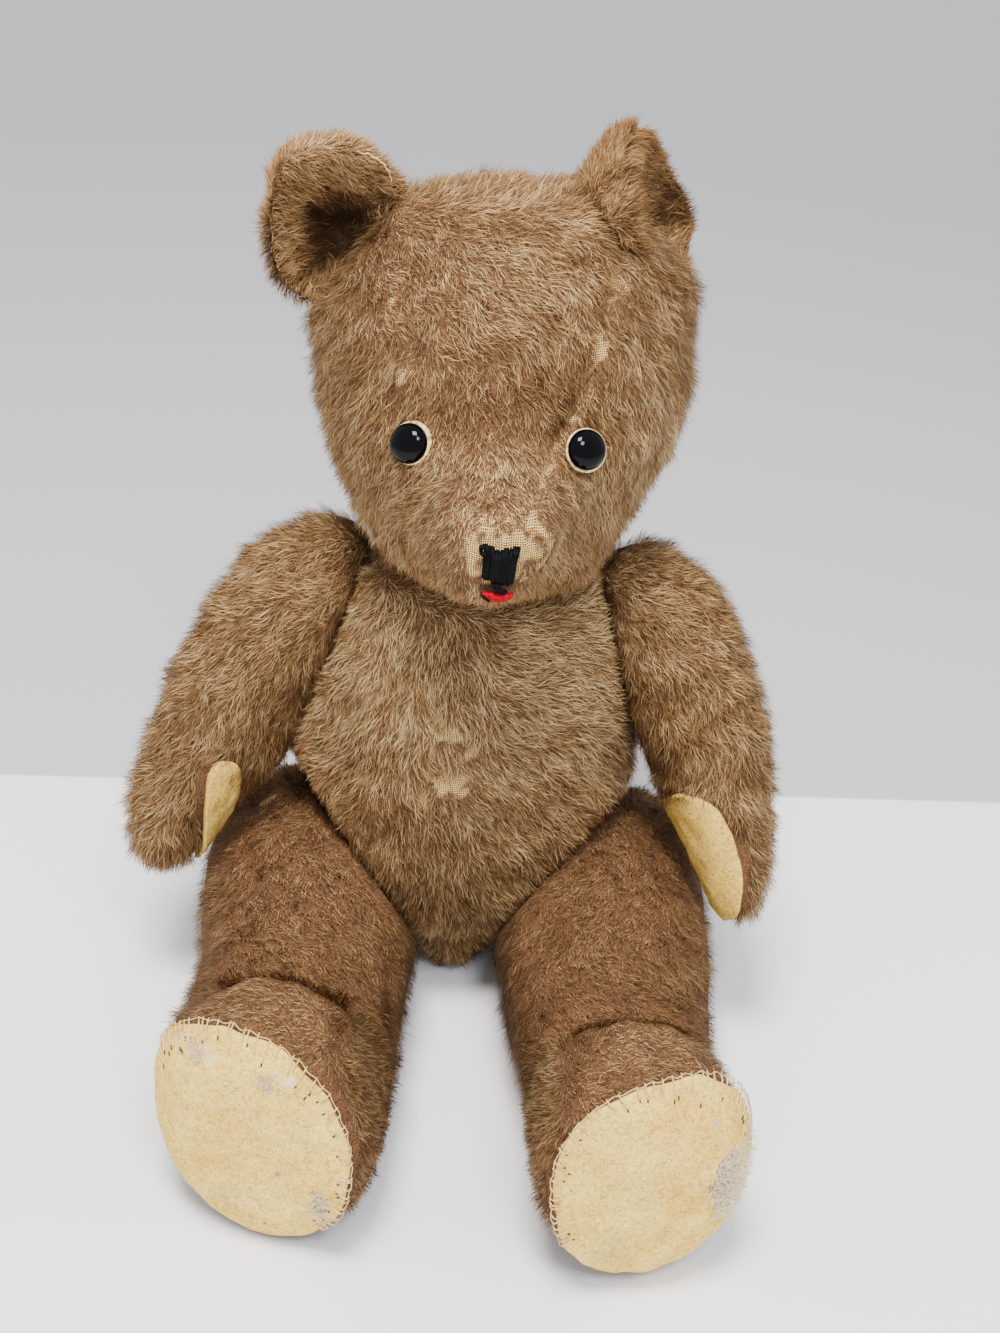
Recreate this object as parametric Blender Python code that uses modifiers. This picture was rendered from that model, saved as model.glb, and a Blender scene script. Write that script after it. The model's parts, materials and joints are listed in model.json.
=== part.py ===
"""A threadbare mohair teddy bear, seated, with jointed neck, shoulders and hips.

Each limb and the head is a sewn plush cover, firmly stuffed, and turns on a pair
of hardboard discs held face to face through both covers by a cotter pin. Paws and
soles are felt. Metres, +Z up; the bear faces -Y and sits on Z = 0, and its own
left side is +X.
"""

import math

import bmesh
import bpy
from mathutils import Matrix, Vector
from mathutils.bvhtree import BVHTree

MM = 0.001
GAP = 0.3 * MM  # left between pieces that touch
COVER_T = 3.5 * MM  # mohair plush: woven backing with the pile lying on it
FELT_T = 2.0 * MM
FELT_SUNK = 1.0 * MM  # the pile stands this much proud of the felt
STUFFING_INSET = COVER_T + 2 * GAP
SNAP = 0.2 * MM  # corners nearer than this are one
MERGE = 0.01 * MM  # what a turned profile closes over
RING = 10  # corners of each section of a soft body
UP = Vector((0, 0, 1))
FORWARD = Vector((0, -1, 0))
LEFT = Vector((1, 0, 0))

# Joint planes: where the covers press together, and the axis of each joint.
NECK = Vector((3, 2, 174)) * MM
NECK_TILT = math.radians(10)  # the head sits tipped forward
HEAD_MIDDLE = 4 * MM  # sideways: it leans a little to the left
SHOULDER = Vector((50, 0, 145)) * MM
SHOULDER_TILT = math.radians(20)  # sloping shoulders throw the paws outward
HIP = Vector((42.2, 0, 42)) * MM
HIP_AXIS = Vector((0.796, -0.372, -0.478))  # outward, forward and down

# How each side is posed: +1 is the bear's left, -1 its right.
ARM_SWING = {1: math.radians(22), -1: math.radians(18)}
LEG_REACH = {1: 0.0, -1: -7 * MM}  # the right foot is drawn back a little

# Joint hardware.
NECK_DISC_R = 19 * MM
SHOULDER_DISC_R = 16 * MM
HIP_DISC_R = 21 * MM
DISC_T = 3 * MM
WASHER_R = 6 * MM
WASHER_T = 0.8 * MM
PIN_WIRE_R = 0.6 * MM
PIN_HOLE_R = 1.6 * MM
PIN_EYE_R = 2.2 * MM
PIN_CURL_R = 1.9 * MM
POCKET_R = 7 * MM
POCKET_DEPTH = 17 * MM
ROUND_STEPS = 16  # sides of a disc, an eye or an ear

# Face.
EYE_R = 6.2 * MM
EYE_FLATNESS = 0.62  # the glass is lower than half a ball
EYE_BACK_R = 7.0 * MM
EYE_BACK_T = 1.2 * MM
EYE_SUNK = 2 * MM
EYE_WIRE_R = 0.7 * MM
EYE_WIRE_LONG = 14 * MM
EYE_APART = 56 * MM
EYE_HEIGHT = 236 * MM
NOSE_HEIGHT = 210 * MM
NOSE_HALF_W, NOSE_TALL, NOSE_PROUD = 6.4 * MM, 12 * MM, 1.6 * MM
NOSE_STITCHES = 6
ROOT = 6 * MM  # how far a piece of the face runs on inward before its base is cut

PLUSH = (0.36, 0.20, 0.10)
FELT = (0.72, 0.60, 0.38)
WADDING = (0.80, 0.77, 0.76)
HARDBOARD = (0.25, 0.15, 0.08)
STEEL = (0.55, 0.54, 0.52)
BLACK_GLASS = (0.01, 0.01, 0.01)
EYE_CREAM = (0.80, 0.62, 0.32)
BLACK_THREAD = (0.012, 0.012, 0.014)
RED_FELT = (0.52, 0.01, 0.02)


for old in list(bpy.data.objects):
    bpy.data.objects.remove(old, do_unlink=True)


def collection(name, cutters=False):
    made = bpy.data.collections.new(name)
    bpy.context.scene.collection.children.link(made)
    made.hide_render = cutters
    return made


BEAR = collection("threadbare_teddy_bear")
CUTTERS = collection("cutters", cutters=True)


def material(name, colour, roughness, metallic=0.0):
    """The named Principled material, made once."""
    found = bpy.data.materials.get(name)
    if found:
        return found
    made = bpy.data.materials.new(name)
    made.use_nodes = True
    shader = made.node_tree.nodes["Principled BSDF"]
    shader.inputs["Base Color"].default_value = (*colour, 1)
    shader.inputs["Roughness"].default_value = roughness
    shader.inputs["Metallic"].default_value = metallic
    return made


def mohair():
    return material("mohair_plush", PLUSH, 0.95)


def wadding():
    return material("wadding", WADDING, 1.0)


def felt():
    return material("cream_felt", FELT, 0.95)


def steel():
    return material("steel_wire", STEEL, 0.35, 1.0)


def add(name, mesh, made_of, matrix=None, joint=None):
    """A named piece of the bear. A piece that a joint turns hangs from its empty."""
    thing = bpy.data.objects.new(name, mesh)
    BEAR.objects.link(thing)
    mesh.materials.append(made_of)
    if joint:
        thing.parent = PIVOTS[joint]
        thing.matrix_parent_inverse = JOINTS[joint][0].inverted()
    if matrix is not None:
        thing.matrix_basis = matrix
    return thing


def add_cutter(name, mesh, matrix=None):
    thing = bpy.data.objects.new(name, mesh)
    CUTTERS.objects.link(thing)
    thing.hide_render = True
    thing.display_type = "WIRE"
    if matrix is not None:
        thing.matrix_basis = matrix
    return thing


def mesh_of(name, shape):
    """A mesh from a bmesh, its faces turned outward."""
    mesh = bpy.data.meshes.new(name)
    bmesh.ops.recalc_face_normals(shape, faces=shape.faces[:])
    shape.to_mesh(mesh)
    shape.free()
    return mesh


def loft(name, rings):
    """A closed mesh through rings of equal count, capped at both ends."""
    shape = bmesh.new()
    rows = [[shape.verts.new(p) for p in ring] for ring in rings]
    shape.faces.new(rows[0])
    shape.faces.new(rows[-1])
    for low, high in zip(rows, rows[1:]):
        for k in range(len(low)):
            shape.faces.new((low[k - 1], low[k], high[k], high[k - 1]))
    return mesh_of(name, shape)


def rod(name, half_x, half_y, low, high, steps):
    """A plain round or oval rod along local Z."""
    shape = bmesh.new()
    stretch = Matrix.Diagonal((half_x, half_y, high - low, 1))
    middle = Matrix.Translation((0, 0, (low + high) / 2))
    bmesh.ops.create_cone(
        shape, cap_ends=True, segments=steps, radius1=1, radius2=1, depth=1, matrix=middle @ stretch
    )
    return mesh_of(name, shape)


def profile(name, points, ring=False):
    """A line of (radius, height) points to turn: a closed one makes a ring, and one
    whose ends lie on the axis makes a solid. It runs down the outer side."""
    mesh = bpy.data.meshes.new(name)
    edges = [(k, k + 1) for k in range(len(points) - 1)]
    if ring:
        edges.append((len(points) - 1, 0))
    mesh.from_pydata([(r, 0, h) for r, h in points], edges, [])
    return mesh


def turn(thing, steps=ROUND_STEPS, smooth=False):
    """Turns a profile about its own Z."""
    screw = thing.modifiers.new("turn", "SCREW")
    screw.steps = screw.render_steps = steps
    screw.use_merge_vertices = True
    screw.merge_threshold = MERGE
    screw.use_smooth_shade = smooth
    return thing


def oval(centre, across, up, wide, tall_up, tall_down, square=1.0):
    """A ring round centre; square below 1 fills out the corners of the oval.

    The ring is widened so that the subdivided surface has the size asked for.
    """
    full = 3 / (2 + math.cos(2 * math.pi / RING))
    ring = []
    for k in range(RING):
        a = 2 * math.pi * (k + 0.5) / RING
        c, s = math.cos(a), math.sin(a)
        x = math.copysign(abs(c) ** square, c) * wide * full
        y = math.copysign(abs(s) ** square, s) * (tall_up if s > 0 else tall_down) * full
        ring.append(centre + across * x + up * y)
    return ring


def frame_at(point, axis, up=UP):
    """Local Z along axis, local Y as near to up as it goes."""
    z = axis.normalized()
    y = (up - z * up.dot(z)).normalized()
    x = y.cross(z)
    return Matrix.Translation(point) @ Matrix((x, y, z)).transposed().to_4x4()


def sided(v, side):
    return Vector((v.x * side, v.y, v.z))


# The joints' frames: origin where the covers press, local Z from torso to limb.
def neck_frame():
    axis = Vector((0, -math.sin(NECK_TILT), math.cos(NECK_TILT)))
    return frame_at(NECK, axis, -FORWARD)


def shoulder_frame(side):
    axis = Vector((math.cos(SHOULDER_TILT), 0, math.sin(SHOULDER_TILT)))
    return frame_at(sided(SHOULDER, side), sided(axis, side))


def hip_frame(side):
    return frame_at(sided(HIP, side), sided(HIP_AXIS, side))


JOINTS = {
    "neck": (neck_frame(), NECK_DISC_R),
    "shoulder_left": (shoulder_frame(1), SHOULDER_DISC_R),
    "shoulder_right": (shoulder_frame(-1), SHOULDER_DISC_R),
    "hip_left": (hip_frame(1), HIP_DISC_R),
    "hip_right": (hip_frame(-1), HIP_DISC_R),
}

PIVOTS = {joint: bpy.data.objects.new(f"{joint}_pivot", None) for joint in JOINTS}
for joint, pivot in PIVOTS.items():
    BEAR.objects.link(pivot)
    pivot.matrix_basis = JOINTS[joint][0]


def pressed_side(joint, toward_limb):
    """The plane that the limb, or the torso, is pressed flat on: a point of it and
    the direction in which the limb or the torso lies."""
    frame = JOINTS[joint][0]
    axis = frame.to_3x3() @ UP
    way = 1 if toward_limb else -1
    return frame.translation + axis * way * GAP / 2, axis * way


FLOOR = (Vector((0, 0, 0)), UP)


def soft_form(name, rings, flats, inset=0.0):
    """A stuffed form: a coarse cage rounded by subdivision and pressed flat on planes.
    The inset is how far inside the bear's outer surface the form lies."""
    cage = bpy.data.objects.new(name, loft(name, rings))
    bpy.context.scene.collection.objects.link(cage)
    rounding = cage.modifiers.new("round", "SUBSURF")
    rounding.levels = rounding.render_levels = 1
    graph = bpy.context.evaluated_depsgraph_get()
    mesh = bpy.data.meshes.new_from_object(cage.evaluated_get(graph))
    bpy.data.objects.remove(cage, do_unlink=True)
    shape = bmesh.new()
    shape.from_mesh(mesh)
    shape.normal_update()
    for corner in shape.verts:
        corner.co -= corner.normal * inset
    for point, normal in flats:
        everything = shape.verts[:] + shape.edges[:] + shape.faces[:]
        spot = point + normal * inset
        bmesh.ops.bisect_plane(
            shape, geom=everything, dist=1e-6, plane_co=spot, plane_no=normal, clear_inner=True
        )
        open_edges = [e for e in shape.edges if e.is_boundary]
        bmesh.ops.holes_fill(shape, edges=open_edges, sides=0)
        bmesh.ops.remove_doubles(shape, verts=shape.verts[:], dist=SNAP)
    bmesh.ops.recalc_face_normals(shape, faces=shape.faces)
    shape.to_mesh(mesh)
    shape.free()
    mesh.shade_smooth()
    mesh.set_sharp_from_angle(angle=math.radians(40))
    return mesh


def cut(thing, cutter, how="DIFFERENCE"):
    made = thing.modifiers.new("cut_" + cutter.name, "BOOLEAN")
    made.operation = how
    made.solver = "EXACT"
    made.object = cutter
    return thing


def shell(thing, thickness=COVER_T):
    made = thing.modifiers.new("cloth", "SOLIDIFY")
    made.thickness = thickness
    made.offset = -1
    return thing


# --- cutters for the joints ---------------------------------------------------


def pin_hole(joint):
    """The hole that a joint's pin passes through both covers by."""
    reach = COVER_T * 2
    mesh = rod(f"{joint}_pin_hole", PIN_HOLE_R, PIN_HOLE_R, -reach, reach, 8)
    return add_cutter(mesh.name, mesh, JOINTS[joint][0])


PIN_HOLES = {joint: pin_hole(joint) for joint in JOINTS}


def pocket(joint, part):
    """The space that a disc, its washer and the pin's end fill in the stuffing."""
    frame, disc_r = JOINTS[joint]
    wide = disc_r + 2 * GAP
    step = COVER_T + DISC_T + WASHER_T + 3 * GAP
    narrow = [(0, POCKET_DEPTH), (POCKET_R, POCKET_DEPTH), (POCKET_R, step)]
    line = narrow + [(wide, step), (wide, -GAP), (0, -GAP)]
    if part == "torso":
        line = [(r, -h) for r, h in reversed(line)]
    name = f"{joint}_pocket_{part}"
    return turn(add_cutter(name, profile(name, line), frame))


# --- torso --------------------------------------------------------------------

# Height, sideways place, half width, front and back of the torso's level sections,
# in mm. Years of sitting have let it lean a little.
TORSO = (
    (-5, -1, 30, 26, 38),
    (12, -2, 50, 47, 48),
    (40, -3, 64, 59, 54),
    (72, -3, 69, 62, 54),
    (104, -2, 66, 57, 49),
    (136, 0, 61, 48, 43),
    (160, 1, 51, 40, 38),
    (183, 3, 31, 29, 28),
)
TORSO_SQUARE = 0.92


def torso_form(name, inset=0.0):
    rings = []
    for z, aside, half, front, back in TORSO:
        centre = Vector((aside, 0, z)) * MM
        sizes = (half * MM, front * MM, back * MM)
        rings.append(oval(centre, LEFT, FORWARD, *sizes, TORSO_SQUARE))
    flats = [pressed_side(joint, toward_limb=False) for joint in JOINTS]
    return soft_form(name, rings, flats + [FLOOR], inset)


def make_torso():
    cover = shell(add("body_cover", torso_form("body_cover"), mohair()))
    filling = add("body_stuffing", torso_form("body_stuffing", STUFFING_INSET), wadding())
    for joint in JOINTS:
        cut(cover, PIN_HOLES[joint])
        cut(filling, pocket(joint, "torso"))


# --- head ---------------------------------------------------------------------

# Distance forward of the neck, height of the widest line, half width, top and
# bottom heights of the head's upright sections, in mm.
HEAD = (
    (97, 209, 9, 217, 201),
    (92, 209, 18, 226, 193),
    (79, 209, 24, 233, 187),
    (62, 211, 30, 241, 182),
    (50, 217, 52, 270, 177),
    (28, 224, 65, 299, 165),
    (-8, 231, 69, 310, 165),
    (-36, 233, 61, 298, 181),
    (-54, 234, 40, 274, 197),
    (-60, 236, 18, 255, 217),
)
HEAD_SQUARE = 0.9


def head_form(name, inset=0.0):
    rings = []
    for ahead, z, half, top, bottom in HEAD:
        centre = Vector((HEAD_MIDDLE, -ahead * MM, z * MM))
        sizes = (half * MM, (top - z) * MM, (z - bottom) * MM)
        rings.append(oval(centre, LEFT, UP, *sizes, HEAD_SQUARE))
    return soft_form(name, rings, [pressed_side("neck", toward_limb=True)], inset)


def head_seat():
    """The head's outside with room round it, which sewn-on pieces are fitted to."""
    return add_cutter("head_seat", head_form("head_seat", -GAP * 1.2))


def on_face(tree, x, z):
    """The point of the face straight in front of (x, z), and its normal, in metres."""
    hit, normal, _, _ = tree.ray_cast(Vector((x, -0.3, z)), -FORWARD)
    return hit, normal


def make_eye(side, tree, cover, filling):
    """A glass dome on a cream back, on a wire that goes into the head."""
    end = "left" if side > 0 else "right"
    hit, normal = on_face(tree, HEAD_MIDDLE + side * EYE_APART / 2, EYE_HEIGHT)
    frame = frame_at(hit - normal * EYE_SUNK, normal)

    room = EYE_BACK_R + GAP
    socket = rod(f"eye_socket_{end}", room, room, 0, EYE_SUNK * 4, ROUND_STEPS)
    socket = add_cutter(f"eye_socket_{end}", socket, frame)
    room = EYE_WIRE_R + GAP
    bore = rod(f"eye_bore_{end}", room, room, -EYE_WIRE_LONG - GAP, EYE_SUNK / 2, 8)
    bore = add_cutter(f"eye_bore_{end}", bore, frame)
    cut(cut(cover, socket), bore)
    cut(filling, bore)

    low, high = GAP, GAP + EYE_BACK_T
    line = [(EYE_BACK_R, high), (EYE_BACK_R, low), (room, low), (room, high)]
    cream = material("eye_cream_back", EYE_CREAM, 0.5)
    back = profile(f"eye_back_{end}", line, ring=True)
    turn(add(f"eye_back_{end}", back, cream, frame, "neck"))

    base, steps = high + GAP, 4
    angles = [math.pi / 2 * (1 - k / steps) for k in range(steps + 1)]
    dome = [(EYE_R * math.cos(a), base + EYE_R * EYE_FLATNESS * math.sin(a)) for a in angles]
    glass = material("black_glass", BLACK_GLASS, 0.05)
    dome = profile(f"eye_{end}", [(0, dome[0][1])] + dome[1:] + [(0, base)])
    turn(add(f"eye_{end}", dome, glass, frame, "neck"), smooth=True)

    wire = rod(f"eye_wire_{end}", EYE_WIRE_R, EYE_WIRE_R, -EYE_WIRE_LONG, high, 6)
    add(f"eye_wire_{end}", wire, steel(), frame, "neck")


def make_nose(tree, seat):
    """The nose: a block of upright satin stitches, each a low ridge."""
    thread = material("black_thread", BLACK_THREAD, 0.6)
    frame = frame_at(*on_face(tree, HEAD_MIDDLE, NOSE_HEIGHT))
    ridge = NOSE_HALF_W / NOSE_STITCHES
    outline = [(-NOSE_HALF_W, -ROOT)]
    for k in range(NOSE_STITCHES):
        middle = -NOSE_HALF_W + ridge * (2 * k + 1)
        for a in (math.radians(150), math.radians(90), math.radians(30)):
            outline.append((middle + ridge * math.cos(a), NOSE_PROUD + ridge * math.sin(a)))
    outline.append((NOSE_HALF_W, -ROOT))
    rings = [[Vector((x, y, z)) for x, z in outline] for y in (NOSE_TALL / 2, -NOSE_TALL / 2)]
    cut(add("nose_stitching", loft("nose_stitching", rings), thread, frame, "neck"), seat)
    small_block("nose_drop_stitch", thread, tree, seat, *DROP_STITCH)
    small_block("mouth_felt", material("red_felt", RED_FELT, 0.9), tree, seat, *MOUTH)


# Distance of the middle below the nose, half width, half height, and height above
# the muzzle of the small pieces under the nose.
DROP_STITCH = (1.6 * MM, 1.6 * MM, 1.2 * MM, 1.2 * MM)
MOUTH = (5.2 * MM, 5.2 * MM, 2.0 * MM, 1.6 * MM)


def small_block(name, made_of, tree, seat, below, half_w, half_h, proud):
    """An oval stitch or scrap of felt, its base cut to the muzzle."""
    frame = frame_at(*on_face(tree, HEAD_MIDDLE, NOSE_HEIGHT - NOSE_TALL / 2 - below))
    line = [(0, proud), (0.7, proud), (1, proud / 2), (1, -ROOT), (0, -ROOT)]
    oblong = frame @ Matrix.Diagonal((half_w, half_h, 1, 1))
    cut(turn(add(name, profile(name, line), made_of, oblong, "neck"), steps=10), seat)


# The bowl of an ear: radius, and depth behind the ear's middle, of its outline from
# the hollow over the rim to the back, in mm.
EAR_BOWL = ((0, 6), (10, 5), (19, -1), (24.5, -8), (27.5, -6), (27.5, -2), (24, 6), (14, 12.5), (0, 14))

# Each ear's middle, the way its bowl opens, its upright, and its width and height
# against a round one. The left one is turned edge on, as its worn stitches let it.
EAR_SET = {
    1: (Vector((45, 6, 296)) * MM, Vector((0.90, -0.40, 0.18)), Vector((-0.5, 0, 1)), 1.0, 1.15),
    -1: (Vector((-58, 2, 289)) * MM, Vector((0.28, -0.93, -0.22)), UP, 0.86, 1.08),
}


def make_ear(side, seat):
    """A cupped two-layer ear, its base following the head."""
    name = "ear_left" if side > 0 else "ear_right"
    centre, facing, upright, wide, tall = EAR_SET[side]
    oblong = frame_at(centre, facing, upright) @ Matrix.Diagonal((wide, tall, 1, 1))
    line = [(r * MM, -depth * MM) for r, depth in EAR_BOWL]
    cut(turn(add(name, profile(name, line), mohair(), oblong, "neck"), smooth=True), seat)


def make_head():
    cover = add("head_cover", head_form("head_cover"), mohair(), joint="neck")
    bpy.context.view_layer.update()
    tree = BVHTree.FromObject(cover, bpy.context.evaluated_depsgraph_get())
    cut(shell(cover), PIN_HOLES["neck"])
    filling = head_form("head_stuffing", STUFFING_INSET)
    filling = add("head_stuffing", filling, wadding(), joint="neck")
    cut(filling, pocket("neck", "head"))
    seat = head_seat()
    make_nose(tree, seat)
    for side in (1, -1):
        make_eye(side, tree, cover, filling)
        make_ear(side, seat)


# --- arms ---------------------------------------------------------------------

# Along the arm from the joint (up is +), forward offset, distance of the middle
# from the joint plane, half width fore and aft, half width outward, in mm.
ARM = (
    (26, 0, 7, 9, 8),
    (19, 0, 11, 20, 17),
    (2, 0, 14, 25.5, 22),
    (-28, 1, 18.5, 26.5, 23.5),
    (-58, 4, 22.5, 25, 21.5),
    (-86, 9, 26, 21.5, 18),
    (-110, 14, 27, 17.5, 14.5),
    (-120, 16, 26, 9, 8),
)


# The felt palm, in the arm's own frame: an oval on the paw's inner front. The
# sideways values are the left arm's, forward being -X in it.
PALM_AT = Vector((-11, -93, 25)) * MM
PALM_FACING = Vector((-0.62, -0.12, -0.78))
PALM_UPRIGHT = Vector((0.18, 1, 0))
PALM_HALF_WIDE, PALM_HALF_LONG, PALM_REACH = 12.5 * MM, 28 * MM, 40 * MM


def arm_form(side, name, inset):
    """The arm's outside, in its own frame, pressed flat on the shoulder."""
    rings = []
    for along, ahead, outward, half_fore, half_out in ARM:
        centre = Vector((-side * ahead, along, outward)) * MM
        sizes = (half_fore * MM, half_out * MM, half_out * MM)
        rings.append(oval(centre, LEFT * -side, UP, *sizes))
    return soft_form(name, rings, [(UP * GAP / 2, UP)], inset)


def make_arm(side):
    end = "left" if side > 0 else "right"
    joint = f"shoulder_{end}"
    matrix = JOINTS[joint][0] @ Matrix.Rotation(-side * ARM_SWING[side], 4, "Z")

    def surface(name, made_of, inset=0.0):
        return add(name, arm_form(side, name, inset), made_of, matrix, joint)

    def palm_cutter(name, inset):
        frame = frame_at(sided(PALM_AT, side), sided(PALM_FACING, side), sided(PALM_UPRIGHT, side))
        sizes = (PALM_HALF_WIDE - inset, PALM_HALF_LONG - inset)
        return add_cutter(name, rod(name, *sizes, 0, PALM_REACH, 18), matrix @ frame)

    cover = shell(surface(f"arm_cover_{end}", mohair()))
    cut(cover, PIN_HOLES[joint])
    cut(cover, palm_cutter(f"palm_hole_{end}", 0))
    filling = surface(f"arm_stuffing_{end}", wadding(), STUFFING_INSET)
    cut(filling, pocket(joint, "arm"))
    pad = shell(surface(f"paw_pad_{end}", felt(), FELT_SUNK), FELT_T)
    cut(pad, palm_cutter(f"palm_outline_{end}", GAP), "INTERSECT")


# --- legs ---------------------------------------------------------------------

# Forward of the hip, sideways place of the middle, its height, half width, and
# heights above and below the middle of the leg's sections, in mm. The last two
# are the rim of the sole and the crown of its felt.
LEG = (
    (-35, 66, 33, 12, 16, 16),
    (-25, 65, 35, 27, 29, 32),
    (0, 61, 37, 38, 37, 40),
    (36, 52, 37, 41, 38, 40),
    (76, 51, 35, 38, 36, 38),
    (116, 54, 31, 34, 31, 34),
    (140, 56, 35, 35, 43, 37),
    (166, 58, 41, 37, 47, 42),
    (179, 59, 42, 34, 43, 40),
    (186, 59, 42, 25, 31, 28),
)
LEG_LONG = LEG[-1][0]
FOOT_TURN = math.radians(13)  # the soles face a little outward
FOOT_STARTS = 110
LEGS_LEAN = 6 * MM  # both feet have swung a little to the bear's left

LEG_SQUARE = 0.95

# The sole: its middle above the floor and along the foot, and its half sizes.
SOLE_UP, SOLE_AT = 43.5 * MM, 160 * MM
SOLE_HALF_W, SOLE_HALF_H, SOLE_REACH = 32 * MM, 40 * MM, 60 * MM

# The break in each sole: its middle from the sole's, its half sizes, its corners.
# The left sole has worn through along its outer edge, the right one is slit.
WORN_HOLES = {1: (21, 3, 4.2, 12.5, 14), -1: (24, -15, 1.2, 6.0, 8)}
RAGGED = 0.22


def foot_turn(side, ahead):
    """How far a section of the leg is turned outward."""
    share = max(0.0, (ahead - FOOT_STARTS) / (LEG_LONG - FOOT_STARTS))
    return side * FOOT_TURN * share


def leg_form(side, name, inset):
    """The leg's outside, in its joint's frame, pressed flat on the hip and floor."""
    rings = []
    for ahead, x, z, half, above, below in LEG:
        reach = ahead * MM + LEG_REACH[side] * max(0, ahead) / LEG_LONG
        turn = foot_turn(side, ahead)
        across = Vector((math.cos(turn), math.sin(turn), 0))
        lean = LEGS_LEAN * max(0, ahead) / LEG_LONG
        centre = Vector((side * x * MM + lean, -reach, z * MM))
        sizes = (half * MM, above * MM, below * MM)
        rings.append(oval(centre, across, UP, *sizes, LEG_SQUARE))
    joint = "hip_left" if side > 0 else "hip_right"
    flats = [pressed_side(joint, toward_limb=True), FLOOR]
    mesh = soft_form(name, rings, flats, inset)
    mesh.transform(JOINTS[joint][0].inverted())
    return mesh


def sole_frame(side):
    """At the middle of the sole: local Z out of it, local Y up."""
    out = Vector((math.sin(side * FOOT_TURN), -math.cos(FOOT_TURN), 0))
    aside = side * LEG[-1][1] * MM + LEGS_LEAN
    middle = Vector((aside, -SOLE_AT - LEG_REACH[side], SOLE_UP))
    return frame_at(middle, out)


def worn_outline(side):
    """The ragged outline inside which a sole's felt has gone, in the sole's frame."""
    x, y, half_w, half_h, corners = WORN_HOLES[side]
    outline = []
    for k in range(corners):
        a = 2 * math.pi * k / corners
        size = 1 + RAGGED * math.sin(3 * a + 1) * math.cos(5 * a)
        outline.append((x + half_w * size * math.cos(a), y + half_h * size * math.sin(a)))
    return outline


def make_leg(side):
    end = "left" if side > 0 else "right"
    joint = f"hip_{end}"

    def surface(name, made_of, inset=0.0):
        return add(name, leg_form(side, name, inset), made_of, JOINTS[joint][0], joint)

    def sole_cutter(name, inset):
        sizes = (SOLE_HALF_W - inset, SOLE_HALF_H - inset)
        return add_cutter(name, rod(name, *sizes, 0, SOLE_REACH, 20), sole_frame(side))

    cover = shell(surface(f"leg_cover_{end}", mohair()))
    cut(cover, PIN_HOLES[joint])
    cut(cover, sole_cutter(f"sole_opening_{end}", 0))
    filling = surface(f"leg_stuffing_{end}", wadding(), STUFFING_INSET)
    cut(filling, pocket(joint, "leg"))
    pad = shell(surface(f"foot_pad_{end}", felt(), FELT_SUNK), FELT_T)
    cut(pad, sole_cutter(f"sole_outline_{end}", GAP), "INTERSECT")
    rings = [[(x * MM, y * MM, h) for x, y in worn_outline(side)] for h in (0, SOLE_REACH)]
    name = f"worn_hole_{end}"
    cut(pad, add_cutter(name, loft(name, rings), sole_frame(side)))


# --- disc joints --------------------------------------------------------------


def cotter_pin(name):
    """A split pin: an eye on the limb's side, its two ends curled on the torso's."""
    apart = PIN_WIRE_R + 0.05 * MM
    stack = COVER_T + DISC_T + WASHER_T + 4 * GAP + PIN_WIRE_R
    curl = [
        Vector((apart + PIN_CURL_R * (1 + math.cos(a)), 0, -stack - PIN_CURL_R * math.sin(a)))
        for a in (math.pi * k / 4 for k in range(5))
    ]
    leg = curl + [Vector((apart, 0, stack)), Vector((PIN_EYE_R, 0, stack + PIN_EYE_R))]
    other_leg = [Vector((-p.x, 0, p.z)) for p in reversed(leg)]
    points = leg + [Vector((0, 0, stack + 2 * PIN_EYE_R))] + other_leg

    curve = bpy.data.curves.new(name, "CURVE")
    curve.dimensions = "3D"
    curve.bevel_depth = PIN_WIRE_R
    curve.bevel_resolution = 0
    curve.use_fill_caps = True
    line = curve.splines.new("POLY")
    line.points.add(len(points) - 1)
    for spot, p in zip(line.points, points):
        spot.co = (*p, 1)
    return curve


def ring_line(outer, inner, low, high, way):
    """A flat ring's section between two heights, turned over for the torso's side."""
    line = [(outer, high), (outer, low), (inner, low), (inner, high)]
    return line if way > 0 else [(r, -h) for r, h in reversed(line)]


def make_joint(joint):
    """A hardboard disc and a steel washer on each side, and the pin through them."""
    frame, disc_r = JOINTS[joint]
    board = material("hardboard", HARDBOARD, 0.8)
    disc_low = COVER_T + GAP * 1.5
    washer_low = disc_low + DISC_T + GAP
    for part, way, rides in (("limb", 1, joint), ("torso", -1, None)):
        name = f"{joint}_disc_{part}"
        line = ring_line(disc_r, PIN_HOLE_R, disc_low, disc_low + DISC_T, way)
        turn(add(name, profile(name, line, ring=True), board, frame, rides))
        name = f"{joint}_washer_{part}"
        line = ring_line(WASHER_R, PIN_HOLE_R, washer_low, washer_low + WASHER_T, way)
        turn(add(name, profile(name, line, ring=True), steel(), frame, rides), steps=10)
    add(f"{joint}_pin", cotter_pin(f"{joint}_pin"), steel(), frame)


make_torso()
make_head()
for side in (1, -1):
    make_arm(side)
    make_leg(side)
for joint in JOINTS:
    make_joint(joint)
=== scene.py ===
"""A threadbare teddy bear: disc-jointed mohair plush stuffed with wadding, felt paws, glass eyes.

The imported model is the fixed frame, in metres: +Z up, the bear faces -Y, its left side is +X.
The file goes from the camera and the joints' hardware to the stuffed bodies, the felt and
its stitches, the pile, the ears, the face and the worn soles.
"""

import json
import math

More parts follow.
